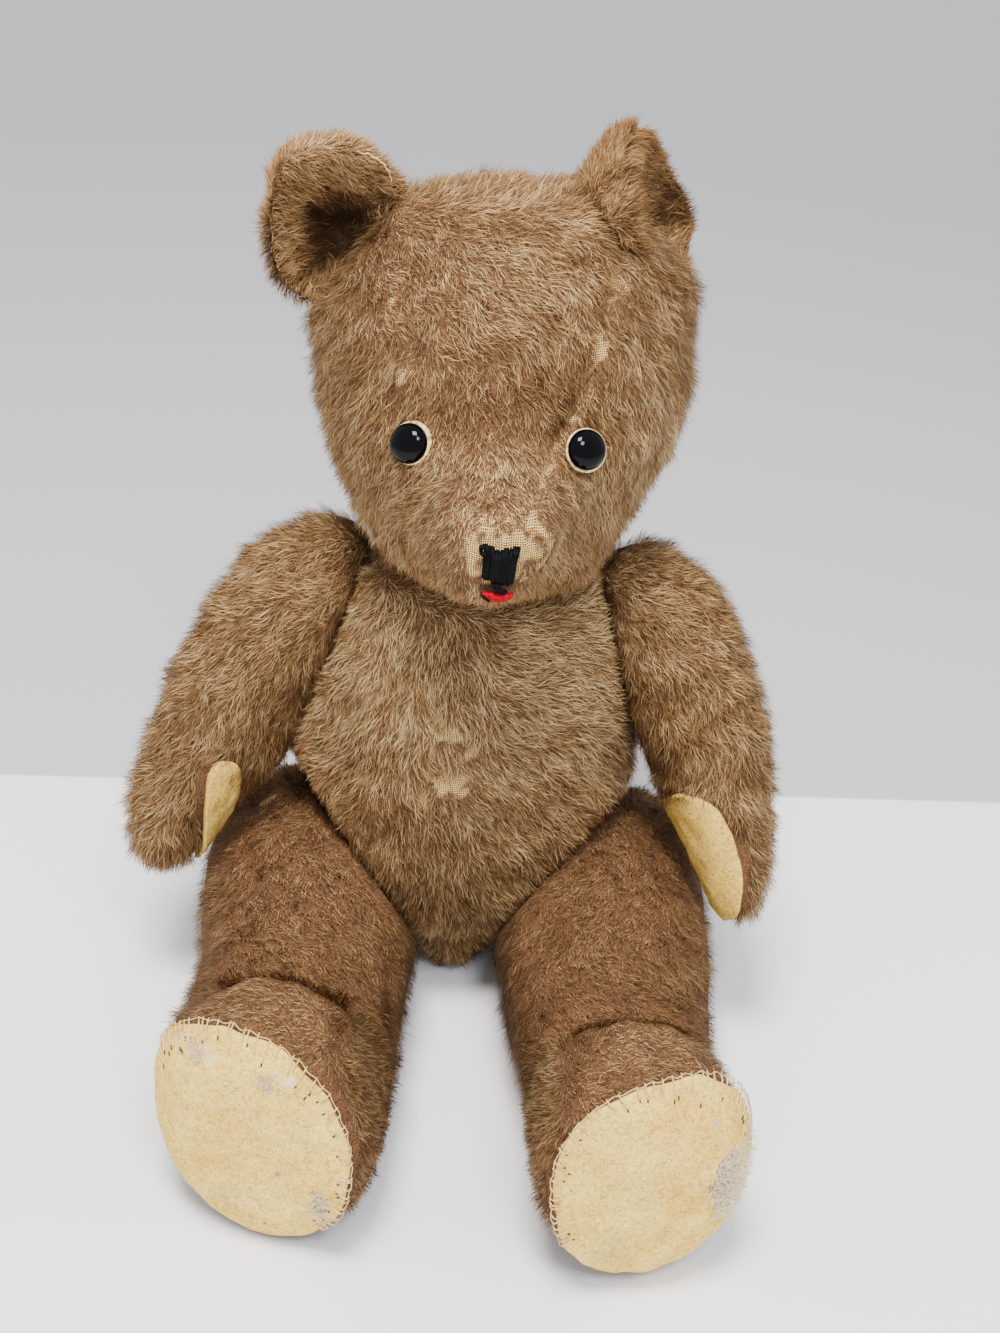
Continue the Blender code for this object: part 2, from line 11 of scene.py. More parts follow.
import bmesh
import bpy
import numpy as np
from mathutils import Matrix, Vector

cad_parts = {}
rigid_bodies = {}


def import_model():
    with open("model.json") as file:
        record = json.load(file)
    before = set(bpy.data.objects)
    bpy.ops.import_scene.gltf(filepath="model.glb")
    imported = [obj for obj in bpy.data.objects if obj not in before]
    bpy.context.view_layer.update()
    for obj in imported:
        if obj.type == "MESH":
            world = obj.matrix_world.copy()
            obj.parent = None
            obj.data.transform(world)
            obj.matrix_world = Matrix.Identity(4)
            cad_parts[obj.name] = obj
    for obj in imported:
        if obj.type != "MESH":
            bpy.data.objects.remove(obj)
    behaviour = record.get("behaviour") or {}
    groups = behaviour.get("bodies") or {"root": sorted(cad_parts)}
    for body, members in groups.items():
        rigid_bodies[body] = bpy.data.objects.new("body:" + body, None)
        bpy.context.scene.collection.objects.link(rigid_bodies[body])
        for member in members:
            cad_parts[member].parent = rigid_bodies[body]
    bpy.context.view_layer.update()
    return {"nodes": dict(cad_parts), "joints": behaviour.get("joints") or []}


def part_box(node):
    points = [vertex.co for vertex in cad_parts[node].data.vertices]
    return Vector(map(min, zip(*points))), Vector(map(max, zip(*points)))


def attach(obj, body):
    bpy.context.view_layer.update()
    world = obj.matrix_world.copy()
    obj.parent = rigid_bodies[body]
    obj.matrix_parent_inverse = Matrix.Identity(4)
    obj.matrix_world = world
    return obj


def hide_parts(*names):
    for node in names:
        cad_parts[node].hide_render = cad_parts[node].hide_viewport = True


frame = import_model()

# --- Camera, light and floor ---------------------------------------------------
# The bear sits on a white cloth just in front of a pale grey wall. Two soft lights
# hang above and in front, and the room's pale walls fill in the rest.

MM = 0.001
CAMERA_AT = (0.009, -0.5373, 0.4103)
LOOKS_DOWN, LEANS = math.radians(28), math.radians(4.7)
FOCAL_LENGTH, SENSOR_WIDTH = 43.2, 36.0


def place_view(name, data, at, across, upward, back):
    """Puts a camera or a lamp at a point: it looks against back, and its own axes are
    the columns of its matrix."""
    thing = bpy.data.objects.new(name, data)
    bpy.context.scene.collection.objects.link(thing)
    turned = np.eye(4)
    turned[:3] = np.stack([across, upward, back, at], axis=1)
    thing.matrix_world = Matrix(turned.tolist())
    return thing


ahead = np.array([0, math.cos(LOOKS_DOWN), -math.sin(LOOKS_DOWN)])
upright = np.array([0, math.sin(LOOKS_DOWN), math.cos(LOOKS_DOWN)])
aside = np.array([1.0, 0, 0])
right = aside * math.cos(LEANS) + upright * math.sin(LEANS)
up = upright * math.cos(LEANS) - aside * math.sin(LEANS)
lens = bpy.data.cameras.new("camera")
lens.lens, lens.sensor_width, lens.clip_start = FOCAL_LENGTH, SENSOR_WIDTH, 10 * MM
bpy.context.scene.camera = place_view("camera", lens, CAMERA_AT, right, up, -ahead)


def linear(code):
    """An sRGB hex colour as linear values, by the sRGB curve."""
    value = np.array([int(code[i : i + 2], 16) for i in (0, 2, 4)]) / 255
    value = np.where(value <= 0.04045, value / 12.92, ((value + 0.055) / 1.055) ** 2.4)
    return (*value.tolist(), 1.0)


def set_inputs(node, inputs):
    """Gives each input a value, or a link where it is a socket."""
    for key, value in inputs.items():
        if isinstance(value, bpy.types.NodeSocket):
            node.id_data.links.new(value, node.inputs[key])
        else:
            node.inputs[key].default_value = value


def add_node(tree, kind, inputs, stops=(), **settings):
    """Adds a node with its settings and inputs and, where it is a colour ramp, its
    (place, hex colour) stops."""
    made = tree.nodes.new(f"ShaderNode{kind}")
    for key, value in settings.items():
        setattr(made, key, value)
    set_inputs(made, inputs)
    for k, (place, code) in enumerate(stops):
        points = made.color_ramp.elements
        point = points[k] if k < 2 else points.new(place)
        point.position, point.color = place, linear(code)
    return made


def new_material(name):
    """A material, its node tree and its Principled shader."""
    made = bpy.data.materials.new(name)
    made.use_nodes = True
    return made, made.node_tree, made.node_tree.nodes["Principled BSDF"]


def place_light(name, at, size, watts, code):
    """A square soft light at a point, turned to the middle of the bear."""
    lamp = bpy.data.lights.new(name, "AREA")
    lamp.size, lamp.energy, lamp.color = size, watts, linear(code)[:3]
    back = np.array(at, float) - MIDDLE
    back /= np.linalg.norm(back)
    across = np.cross([0, 1, 0.01], back)
    across /= np.linalg.norm(across)
    place_view(name, lamp, at, across, np.cross(back, across), back)


MIDDLE = np.array([0, -0.03, 0.14])
place_light("soft_light_above", (-0.15, -0.55, 1.5), 0.42, 40, "FFF8F0")
place_light("soft_light_front", (0.25, -0.95, 1.25), 0.32, 15, "F4F6FF")

world = bpy.data.worlds.new("studio")
bpy.context.scene.world = world
world.use_nodes = True
set_inputs(world.node_tree.nodes["Background"], {"Color": linear("E6E8EC"), "Strength": 1.22})

# White cotton cloth, and where the wall begins the same plane in the wall's grey; further back it
# has a faint painted glow that stands for the light falling on the wall.
WALL_AT, WALL_SLANT = 0.109, 0.10
cloth, tree, shader = new_material("white_cotton_cloth")
place = add_node(tree, "TexCoord", {}).outputs["Object"]
split = add_node(tree, "SeparateXYZ", {"Vector": place}).outputs
slant = add_node(tree, "Math", {0: split["X"], 1: WALL_SLANT}, operation="MULTIPLY")
depth = add_node(tree, "Math", {0: split["Y"], 1: slant.outputs[0]}, operation="SUBTRACT")
depth = depth.outputs[0]
beyond = {"Value": depth, "From Min": WALL_AT - 1 * MM, "From Max": WALL_AT + 1 * MM}
beyond = add_node(tree, "MapRange", beyond)
colour = add_node(tree, "ValToRGB", {"Fac": beyond.outputs[0]}, [(0, "F7F8FA"), (1, "C3C3C6")])
# Painted light: a glow that grows with distance behind the wall line.
far = {"Value": depth, "From Min": WALL_AT, "From Max": 3.0, "To Max": 0.3}
far = add_node(tree, "MapRange", far)
set_inputs(
    shader,
    {
        "Base Color": colour.outputs["Color"],
        "Emission Strength": far.outputs[0],
        "Emission Color": linear("E4E4E8"),
        "Roughness": 0.9,
        "Specular IOR Level": 0.2,
    },
)

steps = np.linspace(-6, 6, 3)
floor_x, floor_y = np.meshgrid(steps, steps)
corners = np.stack([floor_x, floor_y, floor_x * 0], axis=-1).reshape(-1, 3)
floor = bpy.data.meshes.new("cloth_floor")
floor.from_pydata(corners.tolist(), [], [(0, 1, 4, 3), (1, 2, 5, 4), (3, 4, 7, 6), (4, 5, 8, 7)])
floor.materials.append(cloth)
floor = bpy.data.objects.new("cloth_floor", floor)
bpy.context.scene.collection.objects.link(floor)

# --- Joint hardware and stuffing -----------------------------------------------
# Five disc joints hold the bear together: two pressed hardboard discs on a steel
# cotter pin, with a washer behind each. Cotton wadding fills all six bodies.


def flecked(name, size, detail, stops, inputs, bump=0):
    """A finish in flecks of that size in mm: a noise over the piece picks a colour from
    the stops, and may raise the surface."""
    made, tree, shader = new_material(name)
    place = add_node(tree, "TexCoord", {}).outputs["Object"]
    noise = {"Vector": place, "Scale": 1 / (size * MM), "Detail": detail}
    noise = add_node(tree, "TexNoise", noise).outputs["Fac"]
    colour = add_node(tree, "ValToRGB", {"Fac": noise}, stops).outputs["Color"]
    set_inputs(shader, {"Base Color": colour, **inputs})
    if bump:
        raised = add_node(tree, "Bump", {"Height": noise, "Strength": bump, "Distance": 0.3 * MM})
        set_inputs(shader, {"Normal": raised.outputs[0]})
    return made


# Hardboard: pressed wood fibre, dull brown with darker and lighter flecks.
hardboard = flecked("hardboard", 1.11, 3, [(0.3, "4A3322"), (0.7, "85644A")], {"Roughness": 0.85})

# Zinc-plated steel: grey, half bright, a little blotched with age.
steel_look = {"Metallic": 1.0, "Roughness": 0.4}
steel = flecked("dull_steel", 2.5, 4, [(0.35, "8C8579"), (0.65, "B9B5AC")], steel_look)

# Cotton wadding: matt off-white fluff in soft lumps.
wadding_look = {"Roughness": 1.0, "Sheen Weight": 0.3}
wadding = flecked("cotton_wadding", 4.55, 6, [(0.3, "CFC6BE"), (0.65, "F2EEEC")], wadding_look)

for name, made in frame["nodes"].items():
    for part, finish in (("disc", hardboard), ("washer", steel), ("pin", steel), ("wire", steel)):
        if f"_{part}" in name:
            made.data.materials.clear()
            made.data.materials.append(finish)
    if "stuffing" in name:
        made.data.materials.clear()
        made.data.materials.append(wadding)

# --- Stuffed bodies ------------------------------------------------------------
# Each body is a bag of woven cotton backing, stuffed hard through a seam and
# pressed flat where a disc joint pulls it to its neighbour and where it sits. The
# cloth lies a little under the CAD surface, which is the middle of the pile, and
# comes up to it where the pile is worn off. A bag is its cover and its stuffing.

PILE_DEPTH = 2.4 * MM  # cloth below the middle of the pile
PRESSED_DEPTH = 0.12 * MM  # the same at a joint and under the seat
FADE = 9 * MM  # over which one goes to the other
SWELL_LIMIT = 1.5 * MM  # the most a point may move while the bag is blown up
PRESSED_R = {"neck": 30 * MM, "shoulder": 16 * MM, "hip": 25 * MM}
OVER = {"hip_right_swing": 5.5 * MM}  # how far the belly presses into that limb's bag
OVER_R = 60 * MM  # how wide it does
HOLD_DEPTH, HOLD_R = 14 * MM, 58 * MM  # where a joint's face holds the cloth to it
PULL_DEPTH = 30 * MM  # how deep the cloth follows where one body goes over another
VOXEL = 5.5 * MM
CLOTH_FRAMES = 20
PRESSURE = 4  # of the air that blows the cloth up
FIXED_DEPTH = 5 * MM  # cloth that is nearer than this to a joint's face or the floor stays

# Body: the CAD nodes that make up its outside, and how tightly it is stuffed.
BAGS = {
    "torso": (["body_cover", "body_stuffing"], 0.9),
    "head": (["head_cover", "head_stuffing"], 0.9),
}
for side in ("left", "right"):
    for limb, pad in (("arm", "paw_pad"), ("leg", "foot_pad")):
        nodes = [f"{part}_{side}" for part in (f"{limb}_cover", f"{limb}_stuffing", pad)]
        BAGS[f"{limb}_{side}"] = (nodes, 0.85)


def unit(v):
    """Each vector over its length."""
    return v / np.maximum(np.linalg.norm(v, axis=-1, keepdims=True), 1e-12)


def joint_planes(body):
    """Each joint of a body: a point on its plane, the way to the other body, the radius
    over which the two are pressed together, and how far its own cloth goes over."""
    planes = []
    for joint in frame["joints"]:
        if body not in (joint["parent"], joint["child"]):
            continue
        at, axis = np.array(joint["pos_m"]), np.array(joint["axis"])
        low, high = (np.array(corner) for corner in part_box(BAGS[joint["child"]][0][0]))
        outward = axis * np.sign(((low + high) / 2 - at) @ axis)
        pressed = PRESSED_R[joint["name"].split("_")[0]]
        over = OVER.get(joint["name"], 0)
        sign = 1 if body == joint["parent"] else -1
        planes.append((at, sign * outward, pressed, sign * over))
    return planes


def past(points, plane):
    """How far each point is past a joint's face, how far from its axis, and how far the
    face rises there: a plane, or where one side goes over the other a low bell about
    the axis, so that it still turns."""
    at, way, _, over = plane
    away = points - at
    out = away @ way
    flat = np.linalg.norm(away - out[:, None] * way, axis=1)
    rise = over * np.exp(-((flat / OVER_R) ** 2))
    return out - rise, flat, rise


def room(points, body):
    """How far each point is inside the body's joint faces and above the floor."""
    gaps = [points[:, 2]] + [-past(points, plane)[0] for plane in joint_planes(body)]
    return np.min(gaps, axis=0)


def joined_copy(name, nodes):
    """The CAD nodes as one new mesh with its doubled corners merged."""
    sheet = bmesh.new()
    for node in nodes:
        sheet.from_mesh(frame["nodes"][node].data)
    bmesh.ops.remove_doubles(sheet, verts=sheet.verts, dist=0.001 * MM)
    mesh = bpy.data.meshes.new(name)
    sheet.to_mesh(mesh)
    sheet.free()
    return mesh


def show(name, mesh, finish=None):
    """Puts a mesh in the scene as a smooth object at the origin."""
    mesh.name = name
    if finish:
        mesh.materials.clear()
        mesh.materials.append(finish)
    thing = bpy.data.objects.new(name, mesh)
    bpy.context.scene.collection.objects.link(thing)
    return thing


def settle(thing):
    """Applies an object's modifiers to its mesh."""
    graph = bpy.context.evaluated_depsgraph_get()
    mesh = bpy.data.meshes.new_from_object(thing.evaluated_get(graph))
    thing.modifiers.clear()
    old, thing.data = thing.data, mesh
    bpy.data.meshes.remove(old)
    return thing


def corners_of(mesh):
    """A mesh's corners and its corner normals, as two arrays."""
    found = np.zeros((2, len(mesh.vertices) * 3), np.float32)
    mesh.vertices.foreach_get("co", found[0])
    mesh.vertex_normals.foreach_get("vector", found[1])
    return found.reshape(2, -1, 3).astype(float)


def move_corners(mesh, points):
    """Writes an array of corners back."""
    mesh.vertices.foreach_set("co", points.astype(np.float32).ravel())
    mesh.update()


def largest_island(mesh):
    """Deletes all but the biggest connected part: labels flow along the edges to
    their lowest neighbour until none changes."""
    ends = np.zeros(len(mesh.edges) * 2, np.int32)
    mesh.edges.foreach_get("vertices", ends)
    a, b = ends.reshape(-1, 2).T
    label = np.arange(len(mesh.vertices))
    while True:
        low = np.minimum(label[a], label[b])
        new = label.copy()
        np.minimum.at(new, a, low)
        np.minimum.at(new, b, low)
        new = new[new]
        if (new == label).all():
            break
        label = new
    biggest = np.bincount(label).argmax()
    sheet = bmesh.new()
    sheet.from_mesh(mesh)
    sheet.verts.ensure_lookup_table()
    gone = [sheet.verts[i] for i in np.flatnonzero(label != biggest)]
    bmesh.ops.delete(sheet, geom=gone, context="VERTS")
    sheet.to_mesh(mesh)
    sheet.free()


def remeshed(name, nodes, voxel):
    """One closed skin round CAD nodes, by voxel remesh."""
    thing = show(name, joined_copy(name, nodes))
    remesh = thing.modifiers.new("remesh", "REMESH")
    remesh.mode, remesh.voxel_size = "VOXEL", voxel
    settle(thing)
    largest_island(thing.data)
    return thing


def swell(points, size, seed):
    """A smooth random field about 0: the sum of a dozen sine waves of about that length
    in mm, each with its own way and phase, over what makes its spread 1."""
    waves, spread = 12, 2.45
    chance = np.random.default_rng(seed)
    ways = unit(chance.normal(size=(waves, 3)))
    ways *= (2 * math.pi / (size * MM * chance.uniform(0.7, 1.5, waves)))[:, None]
    phases = chance.uniform(0, 2 * math.pi, waves)
    return np.sin(points @ ways.T + phases).sum(axis=1) / spread


def from_line(points, line):
    """Distance from each point to a bent line given in mm: the least over its straight
    parts of the distance to the nearest point of the part."""
    line = np.array(line, float) * MM
    best = np.full(len(points), 9.0)
    for a, b in zip(line[:-1], line[1:]):
        t = np.clip((points - a) @ (b - a) / ((b - a) @ (b - a)), 0, 1)
        best = np.minimum(best, np.linalg.norm(points - a - t[:, None] * (b - a), axis=1))
    return best


def hump(distance, width):
    """1 at distance 0, falling as a bell of that width in mm."""
    return np.exp(-((distance / (width * MM)) ** 2))


# The gusset seams, from the muzzle's corners over the brows to the ears, in mm.
LEFT_SEAM = [(14, -90, 219), (20, -66, 232), (29, -54, 250), (37, -30, 280)]
LEFT_SEAM += [(41, -5, 298), (38, 26, 290), (22, 52, 262)]
RIGHT_SEAM = [(-6, -90, 219), (-12, -66, 232), (-22, -56, 248), (-31, -42, 268)]
RIGHT_SEAM += [(-37, -18, 288), (-33, 22, 292), (-14, 52, 262)]
# The seam down the chest, and the fold beside the left eye.
FRONT_SEAM = [(-2, -30, 172), (-5, -42, 150), (-8, -52, 124)]
CREASE = [(20, -62, 240), (27, -57, 249), (33, -50, 259)]


HEAD_MIDDLE, CHEST_MIDDLE = (4, -10, 245), (0, 0, 140)


def below(line, middle, depth=2.2):
    """A line moved down from the pile's tips to the cloth, towards the body's middle."""
    points = np.array(line, float)
    return points + depth * unit(np.array(middle) - points)


SEAMS = [below(line, HEAD_MIDDLE) for line in (LEFT_SEAM, RIGHT_SEAM)]
CREASE, FRONT_SEAM = below(CREASE, HEAD_MIDDLE, 3.2), below(FRONT_SEAM, CHEST_MIDDLE)

# Where the pile is worn off: middle and half sizes in mm, and how bare it is; below
# nothing where some pile is left in a bare place.
BARE = {
    "head": [
        ((8.5, -97, 213), (13, 18, 10), 1.15),
        ((-1.9, -96, 213), (4.2, 18, 7), 1.1),
        ((16, -93, 208), (6, 18, 4), -0.5),
        ((5, -95, 220), (5, 18, 2.5), -0.35),
        ((-29, -51, 253), (3.6, 8, 7.5), 0.75),
        ((32.5, -46.5, 265), (4, 9, 8), 0.9),
        ((37, -32, 280), (6, 9, 10), 0.5),
        ((-32, -36, 273), (6, 9, 8), 0.4),
    ],
    "torso": [
        ((-7, -52, 122), (7, 9, 4), 1.0),
        ((1, -54, 117), (5, 9, 3), 0.85),
        ((-4, -57, 104), (6, 9, 4.5), 1.25),
        ((-13, -55, 106), (3, 9, 2.5), 1.0),
        ((-11, -37, 158), (3, 9, 10), 0.45),
    ],
    "leg_right": [((-77, -19, 68), (5, 5, 5), 0.7)],
    "arm_right": [((-86, -44, 72), (5, 5, 5), 0.4)],
}
MUZZLE_RING = (9, 213), (12.5, 9.5)  # the worn patch's rim: its middle and half sizes


def bell(points, middle, half):
    """1 at a middle, falling as e to minus the square of the distance, each way in its
    half size in mm; that of a way that doesn't count is infinite."""
    return np.exp(-((((points / MM - middle) / half) ** 2).sum(axis=1)))


def bareness(points, body):
    """0 where the pile is whole, 1 where it is gone: the most that a bell, a seam or the
    muzzle's rim gives, roughened by two swells and drawn out to a sharp edge."""
    bare = np.zeros(len(points))
    for middle, half, most in BARE.get(body, ()):
        more = most * bell(points, middle, half)
        bare = np.maximum(bare, more) if most > 0 else bare + more
    if body == "head":
        near = np.min([from_line(points, seam) for seam in SEAMS], axis=0)
        front = np.clip((-points[:, 1] / MM + 10) / 30, 0, 1)
        bare = np.maximum(bare, 0.45 * hump(near, 1.3) * front)
        bare = np.maximum(bare, 0.66 * hump(from_line(points, SEAMS[0]), 1.5) * front)
        middle, half = MUZZLE_RING
        off = np.hypot(*((points[:, [0, 2]] / MM - middle) / half).T)
        ring = hump((off - 1) * MM, 0.1) * (points[:, 2] < 221 * MM) * (front > 0.9)
        bare = np.maximum(bare, 0.85 * ring)
    ragged = 0.16 * swell(points, 5, 11) + 0.1 * swell(points, 2, 12)
    return np.clip((bare + ragged * (bare > 0.05) - 0.28) * 2, 0, 1)


# Where the stuffing has shifted: middle, half sizes and the cloth's move in mm.
SHIFTED = {
    "head": [
        ((54, -34, 203), (27, 38, 23), (-12, 2, 8)),
        ((68, -16, 232), (20, 36, 22), (-2.5, 0, 1)),
        ((-42, -40, 198), (22, 32, 16), (3.5, 1, 3)),
        ((-56, -30, 216), (20, 34, 22), (2.5, 0, 1)),
        ((-62, 0, 260), (14, 32, 26), (-8, 0, 1)),
        ((-36, 0, 298), (19, 34, 17), (-3, 0, 5)),
        ((32, 0, 300), (16, 34, 14), (3, 0, 6)),
        ((60, 8, 283), (15, 32, 24), (6.5, 0, 2)),
        ((26, -78, 196), (12, 18, 14), (-2, 2, 2)),
    ],
    "torso": [
        ((0, -48, 17), (22, 18, 18), (0, 7, 11)),
        ((-60, -18, 97), (10, 22, 20), (-8, 0, 0)),
        ((-62, -14, 84), (9, 22, 12), (-4, 0, 0)),
        ((-36, -52, 62), (22, 20, 26), (0, -3, 0)),
        ((-46, -4, 166), (12, 24, 12), (-3, 0, 1.5)),
        ((46, -4, 166), (12, 24, 12), (2, 0, 1)),
    ],
    "arm_left": [
        ((82, -12, 160), (30, 36, 30), (6.5, 0, 8)),
        ((100, -32, 128), (22, 36, 26), (6, -1, 3.5)),
        ((62, -2, 172), (14, 28, 16), (0, 0, 4)),
        ((54, 0, 168), (9, 26, 16), (0, 0, 5)),
        ((118, -56, 68), (22, 28, 26), (-5.5, 1, 4)),
    ],
    "arm_right": [
        ((-84, -12, 160), (30, 36, 30), (-6.5, 0, 8)),
        ((-104, -40, 115), (24, 36, 34), (-8.5, -1, 4.5)),
        ((-62, -2, 172), (16, 28, 16), (0, 0, 5)),
        ((-53, 0, 168), (9, 26, 16), (0, 0, 8)),
        ((-96, -28, 138), (18, 30, 22), (-3, 0, 2)),
        ((-120, -52, 82), (18, 26, 24), (-4, -1, 4)),
        ((-118, -60, 58), (20, 24, 14), (0, 0, 3)),
        ((-68, -18, 97), (12, 20, 18), (9.5, 0, -3)),
    ],
    "leg_left": [
        ((60, -128, 70), (38, 9, 20), (0, 1.5, -6.5)),
        ((60, -146, 78), (32, 12, 14), (0, 0, 4.5)),
        ((92, -70, 48), (22, 60, 30), (6, 0, 0)),
        ((94, -146, 64), (18, 24, 20), (1, 0, 1.5)),
        ((32, -144, 18), (22, 40, 28), (4, 0, 3)),
        ((42, -168, 4), (22, 26, 22), (4, 0, 5)),
    ],
    "leg_right": [
        ((-50, -121, 70), (38, 11, 20), (0, 1.5, -5.6)),
        ((-50, -139, 78), (32, 12, 14), (0, 0, 4.5)),
        ((-92, -54, 46), (24, 60, 32), (-10, 0, 0)),
        ((-82, -124, 58), (24, 28, 26), (-6, 0, 2)),
        ((-24, -135, 30), (20, 45, 26), (2.5, 0, 0)),
        ((-24, -150, 14), (18, 30, 18), (3, 0, 0)),
    ],
    "ear_left": [
        ((62, 20, 316), (20, 32, 18), (-5, -2, -8)),
        ((44, 0, 326), (24, 30, 14), (-5, 0, -2)),
        ((64, 16, 286), (16, 24, 16), (0.5, 0, -1)),
        ((30, -2, 306), (9, 20, 11), (-4.5, 0, 0)),
    ],
    "ear_right": [
        ((-64, 4, 270), (15, 20, 13), (-3.5, 0, -4)),
        ((-55, -6, 316), (24, 26, 12), (0, 0, -2)),
        ((-42, -4, 308), (10, 20, 12), (-2, 0, -2)),
        ((-74, -6, 306), (10, 24, 12), (-2.5, 0, 1)),
    ],
}


def shifted(points, body):
    """Each point moved by each shift's bell; near a joint none is drawn away from the
    joint's face, and none goes past it."""
    start = points
    for middle, half, move in SHIFTED.get(body, ()):
        points = points + bell(points, middle, half)[:, None] * np.array(move) * MM
    for plane in joint_planes(body):
        before, flat, rise = past(start, plane)
        near = np.clip(1 + (before + rise) / HOLD_DEPTH, 0, 1)
        near *= np.clip((HOLD_R - flat) / HOLD_DEPTH, 0, 1)
        held = near * np.maximum(before - past(points, plane)[0], 0)
        pulled = held + rise * np.clip(1 + (before + rise) / PULL_DEPTH, 0, 1)
        points = points + pulled[:, None] * plane[1]
        points = points - np.maximum(past(points, plane)[0], 0)[:, None] * plane[1]
    return points


bags = {}
for body, (nodes, _) in BAGS.items():
    bag = remeshed(f"{body}_bag", nodes, VOXEL)
    move_corners(bag.data, shifted(corners_of(bag.data)[0], body))
    points, normals = corners_of(bag.data)
    share = np.clip(room(points, body) / FADE, 0, 1)
    share *= 1 - 0.7 * bareness(points, body)
    depth = PRESSED_DEPTH + (PILE_DEPTH - PRESSED_DEPTH) * share
    move_corners(bag.data, points - normals * depth[:, None])
    bags[body] = bag


def blow_up(things):
    """Cloth with pressure and no gravity, held where it is pressed; each point moves
    no further than the limit."""
    scene = bpy.context.scene
    starts = {}
    for body, thing in things.items():
        starts[body] = corners_of(thing.data)[0]
        held = thing.vertex_groups.new(name="held")
        fixed = np.flatnonzero(room(starts[body], body) < FIXED_DEPTH)
        held.add(fixed.tolist(), 1.0, "REPLACE")
        cloth = thing.modifiers.new("blow_up", "CLOTH")
        cloth.settings.quality = 3
        cloth.settings.use_pressure = True
        cloth.settings.uniform_pressure_force = PRESSURE
        cloth.settings.effector_weights.gravity = 0
        cloth.settings.vertex_group_mass = "held"
        cloth.collision_settings.use_collision = False
        cloth.point_cache.frame_start, cloth.point_cache.frame_end = 1, CLOTH_FRAMES
    for step in range(1, CLOTH_FRAMES + 1):
        scene.frame_set(step)
    for body, thing in things.items():
        settle(thing)
        moved = corners_of(thing.data)[0] - starts[body]
        length = np.linalg.norm(moved, axis=1, keepdims=True)
        moved *= np.minimum(1, SWELL_LIMIT / np.maximum(length, 1e-9))
        move_corners(thing.data, starts[body] + moved)
    scene.frame_set(1)


blow_up(bags)
for bag in bags.values():
    smooth = bag.modifiers.new("smooth", "SUBSURF")
    smooth.levels = smooth.render_levels = 1
    settle(bag)

# --- Seams and thin places -----------------------------------------------------
# The head is three pieces of plush: two sides and a gusset from the nose over the
# top. Its seams, the muzzle, the brows and the chest are worn to the backing.
FLOOR_GAP = 0.15 * MM

for body, bag in bags.items():
    points, normals = corners_of(bag.data)
    sink = 0.5 * swell(points, 16, 3) * np.clip(room(points, body) / FADE, 0, 1)
    if body == "head":
        for seam in SEAMS:
            sink -= hump(from_line(points, seam), 2.6)
        sink -= 2.4 * hump(from_line(points, CREASE), 2.8)
    if body == "torso":
        sink += hump(from_line(points, FRONT_SEAM), 3.0)
    points = points + normals * (sink * MM)[:, None]
    points[:, 2] = np.maximum(points[:, 2], FLOOR_GAP)
    move_corners(bag.data, points)
    worn = bag.data.attributes.new("worn", "FLOAT", "POINT")
    worn.data.foreach_set("value", bareness(corners_of(bag.data)[0], body).astype(np.float32))

# Mohair backing: brown undercoat fibres, painted darker than they are as the shade
# down among the blades, and where they are gone an open plain weave of cream cotton,
# with painted shade in the gaps between the threads and down their sides. Threads
# 0.68 mm apart pull a little out of line; undercoat and tufts are drawn coarse enough to show.
THREAD_PITCH = 0.68 * MM
PULL_SIZE, UNDERCOAT_AND_SHADE_SIZE, TUFT_SIZE = 4.167 * MM, 0.6667 * MM, 1.538 * MM
PULLED = 1.6 * MM

backing, tree, shader = new_material("woven_cotton_backing")
place = add_node(tree, "TexCoord", {}).outputs["Object"]
noises = []
for size in (PULL_SIZE, UNDERCOAT_AND_SHADE_SIZE, TUFT_SIZE):
    noise = add_node(tree, "TexNoise", {"Vector": place, "Scale": 1 / size, "Detail": 3})
    noises.append(noise.outputs)
pulls, fuzz, tufts = noises
shift = {0: pulls["Color"], 1: (PULLED, PULLED, PULLED)}
shift = add_node(tree, "VectorMath", shift, operation="MULTIPLY").outputs[0]
weave_at = add_node(tree, "VectorMath", {0: place, 1: shift}, operation="ADD").outputs[0]
split = add_node(tree, "SeparateXYZ", {"Vector": weave_at}).outputs
waves = []
for way in ("X", "Z"):
    wave = {0: split[way], 1: math.pi / THREAD_PITCH}
    wave = add_node(tree, "Math", wave, operation="MULTIPLY").outputs[0]
    wave = add_node(tree, "Math", {0: wave}, operation="SINE").outputs[0]
    waves.append(add_node(tree, "Math", {0: wave}, operation="ABSOLUTE").outputs[0])
thread = add_node(tree, "Math", {0: waves[0], 1: waves[1]}, operation="MAXIMUM").outputs[0]
# Painted shade: the gaps between the threads nearly black brown, each thread darker down its sides
# than on its crown.
weave_and_gap_shade = [(0.68, "2E1C0C"), (0.88, "967040"), (1.0, "E8C683")]
weave_and_gap_shade = add_node(tree, "ValToRGB", {"Fac": thread}, weave_and_gap_shade).outputs["Color"]
# Partly painted shade: the undercoat's own brown, made darker to stand for the shade down among the
# blades.
undercoat_and_shade = [(0.3, "3E2817"), (0.7, "7A573A")]
undercoat_and_shade = add_node(tree, "ValToRGB", {"Fac": fuzz["Fac"]}, undercoat_and_shade).outputs["Color"]
worn = add_node(tree, "Attribute", {}, attribute_name="worn").outputs["Fac"]
patchy = add_node(tree, "Math", {0: worn, 1: 1.5}, operation="MULTIPLY").outputs[0]
patchy = {0: patchy, 1: tufts["Fac"]}
patchy = add_node(tree, "Math", patchy, operation="SUBTRACT").outputs[0]
patchy = {"Value": patchy, "From Min": -0.1, "From Max": 0.65}
patchy = add_node(tree, "MapRange", patchy).outputs[0]
colour = add_node(tree, "Mix", {0: patchy, 6: undercoat_and_shade, 7: weave_and_gap_shade}, data_type="RGBA")
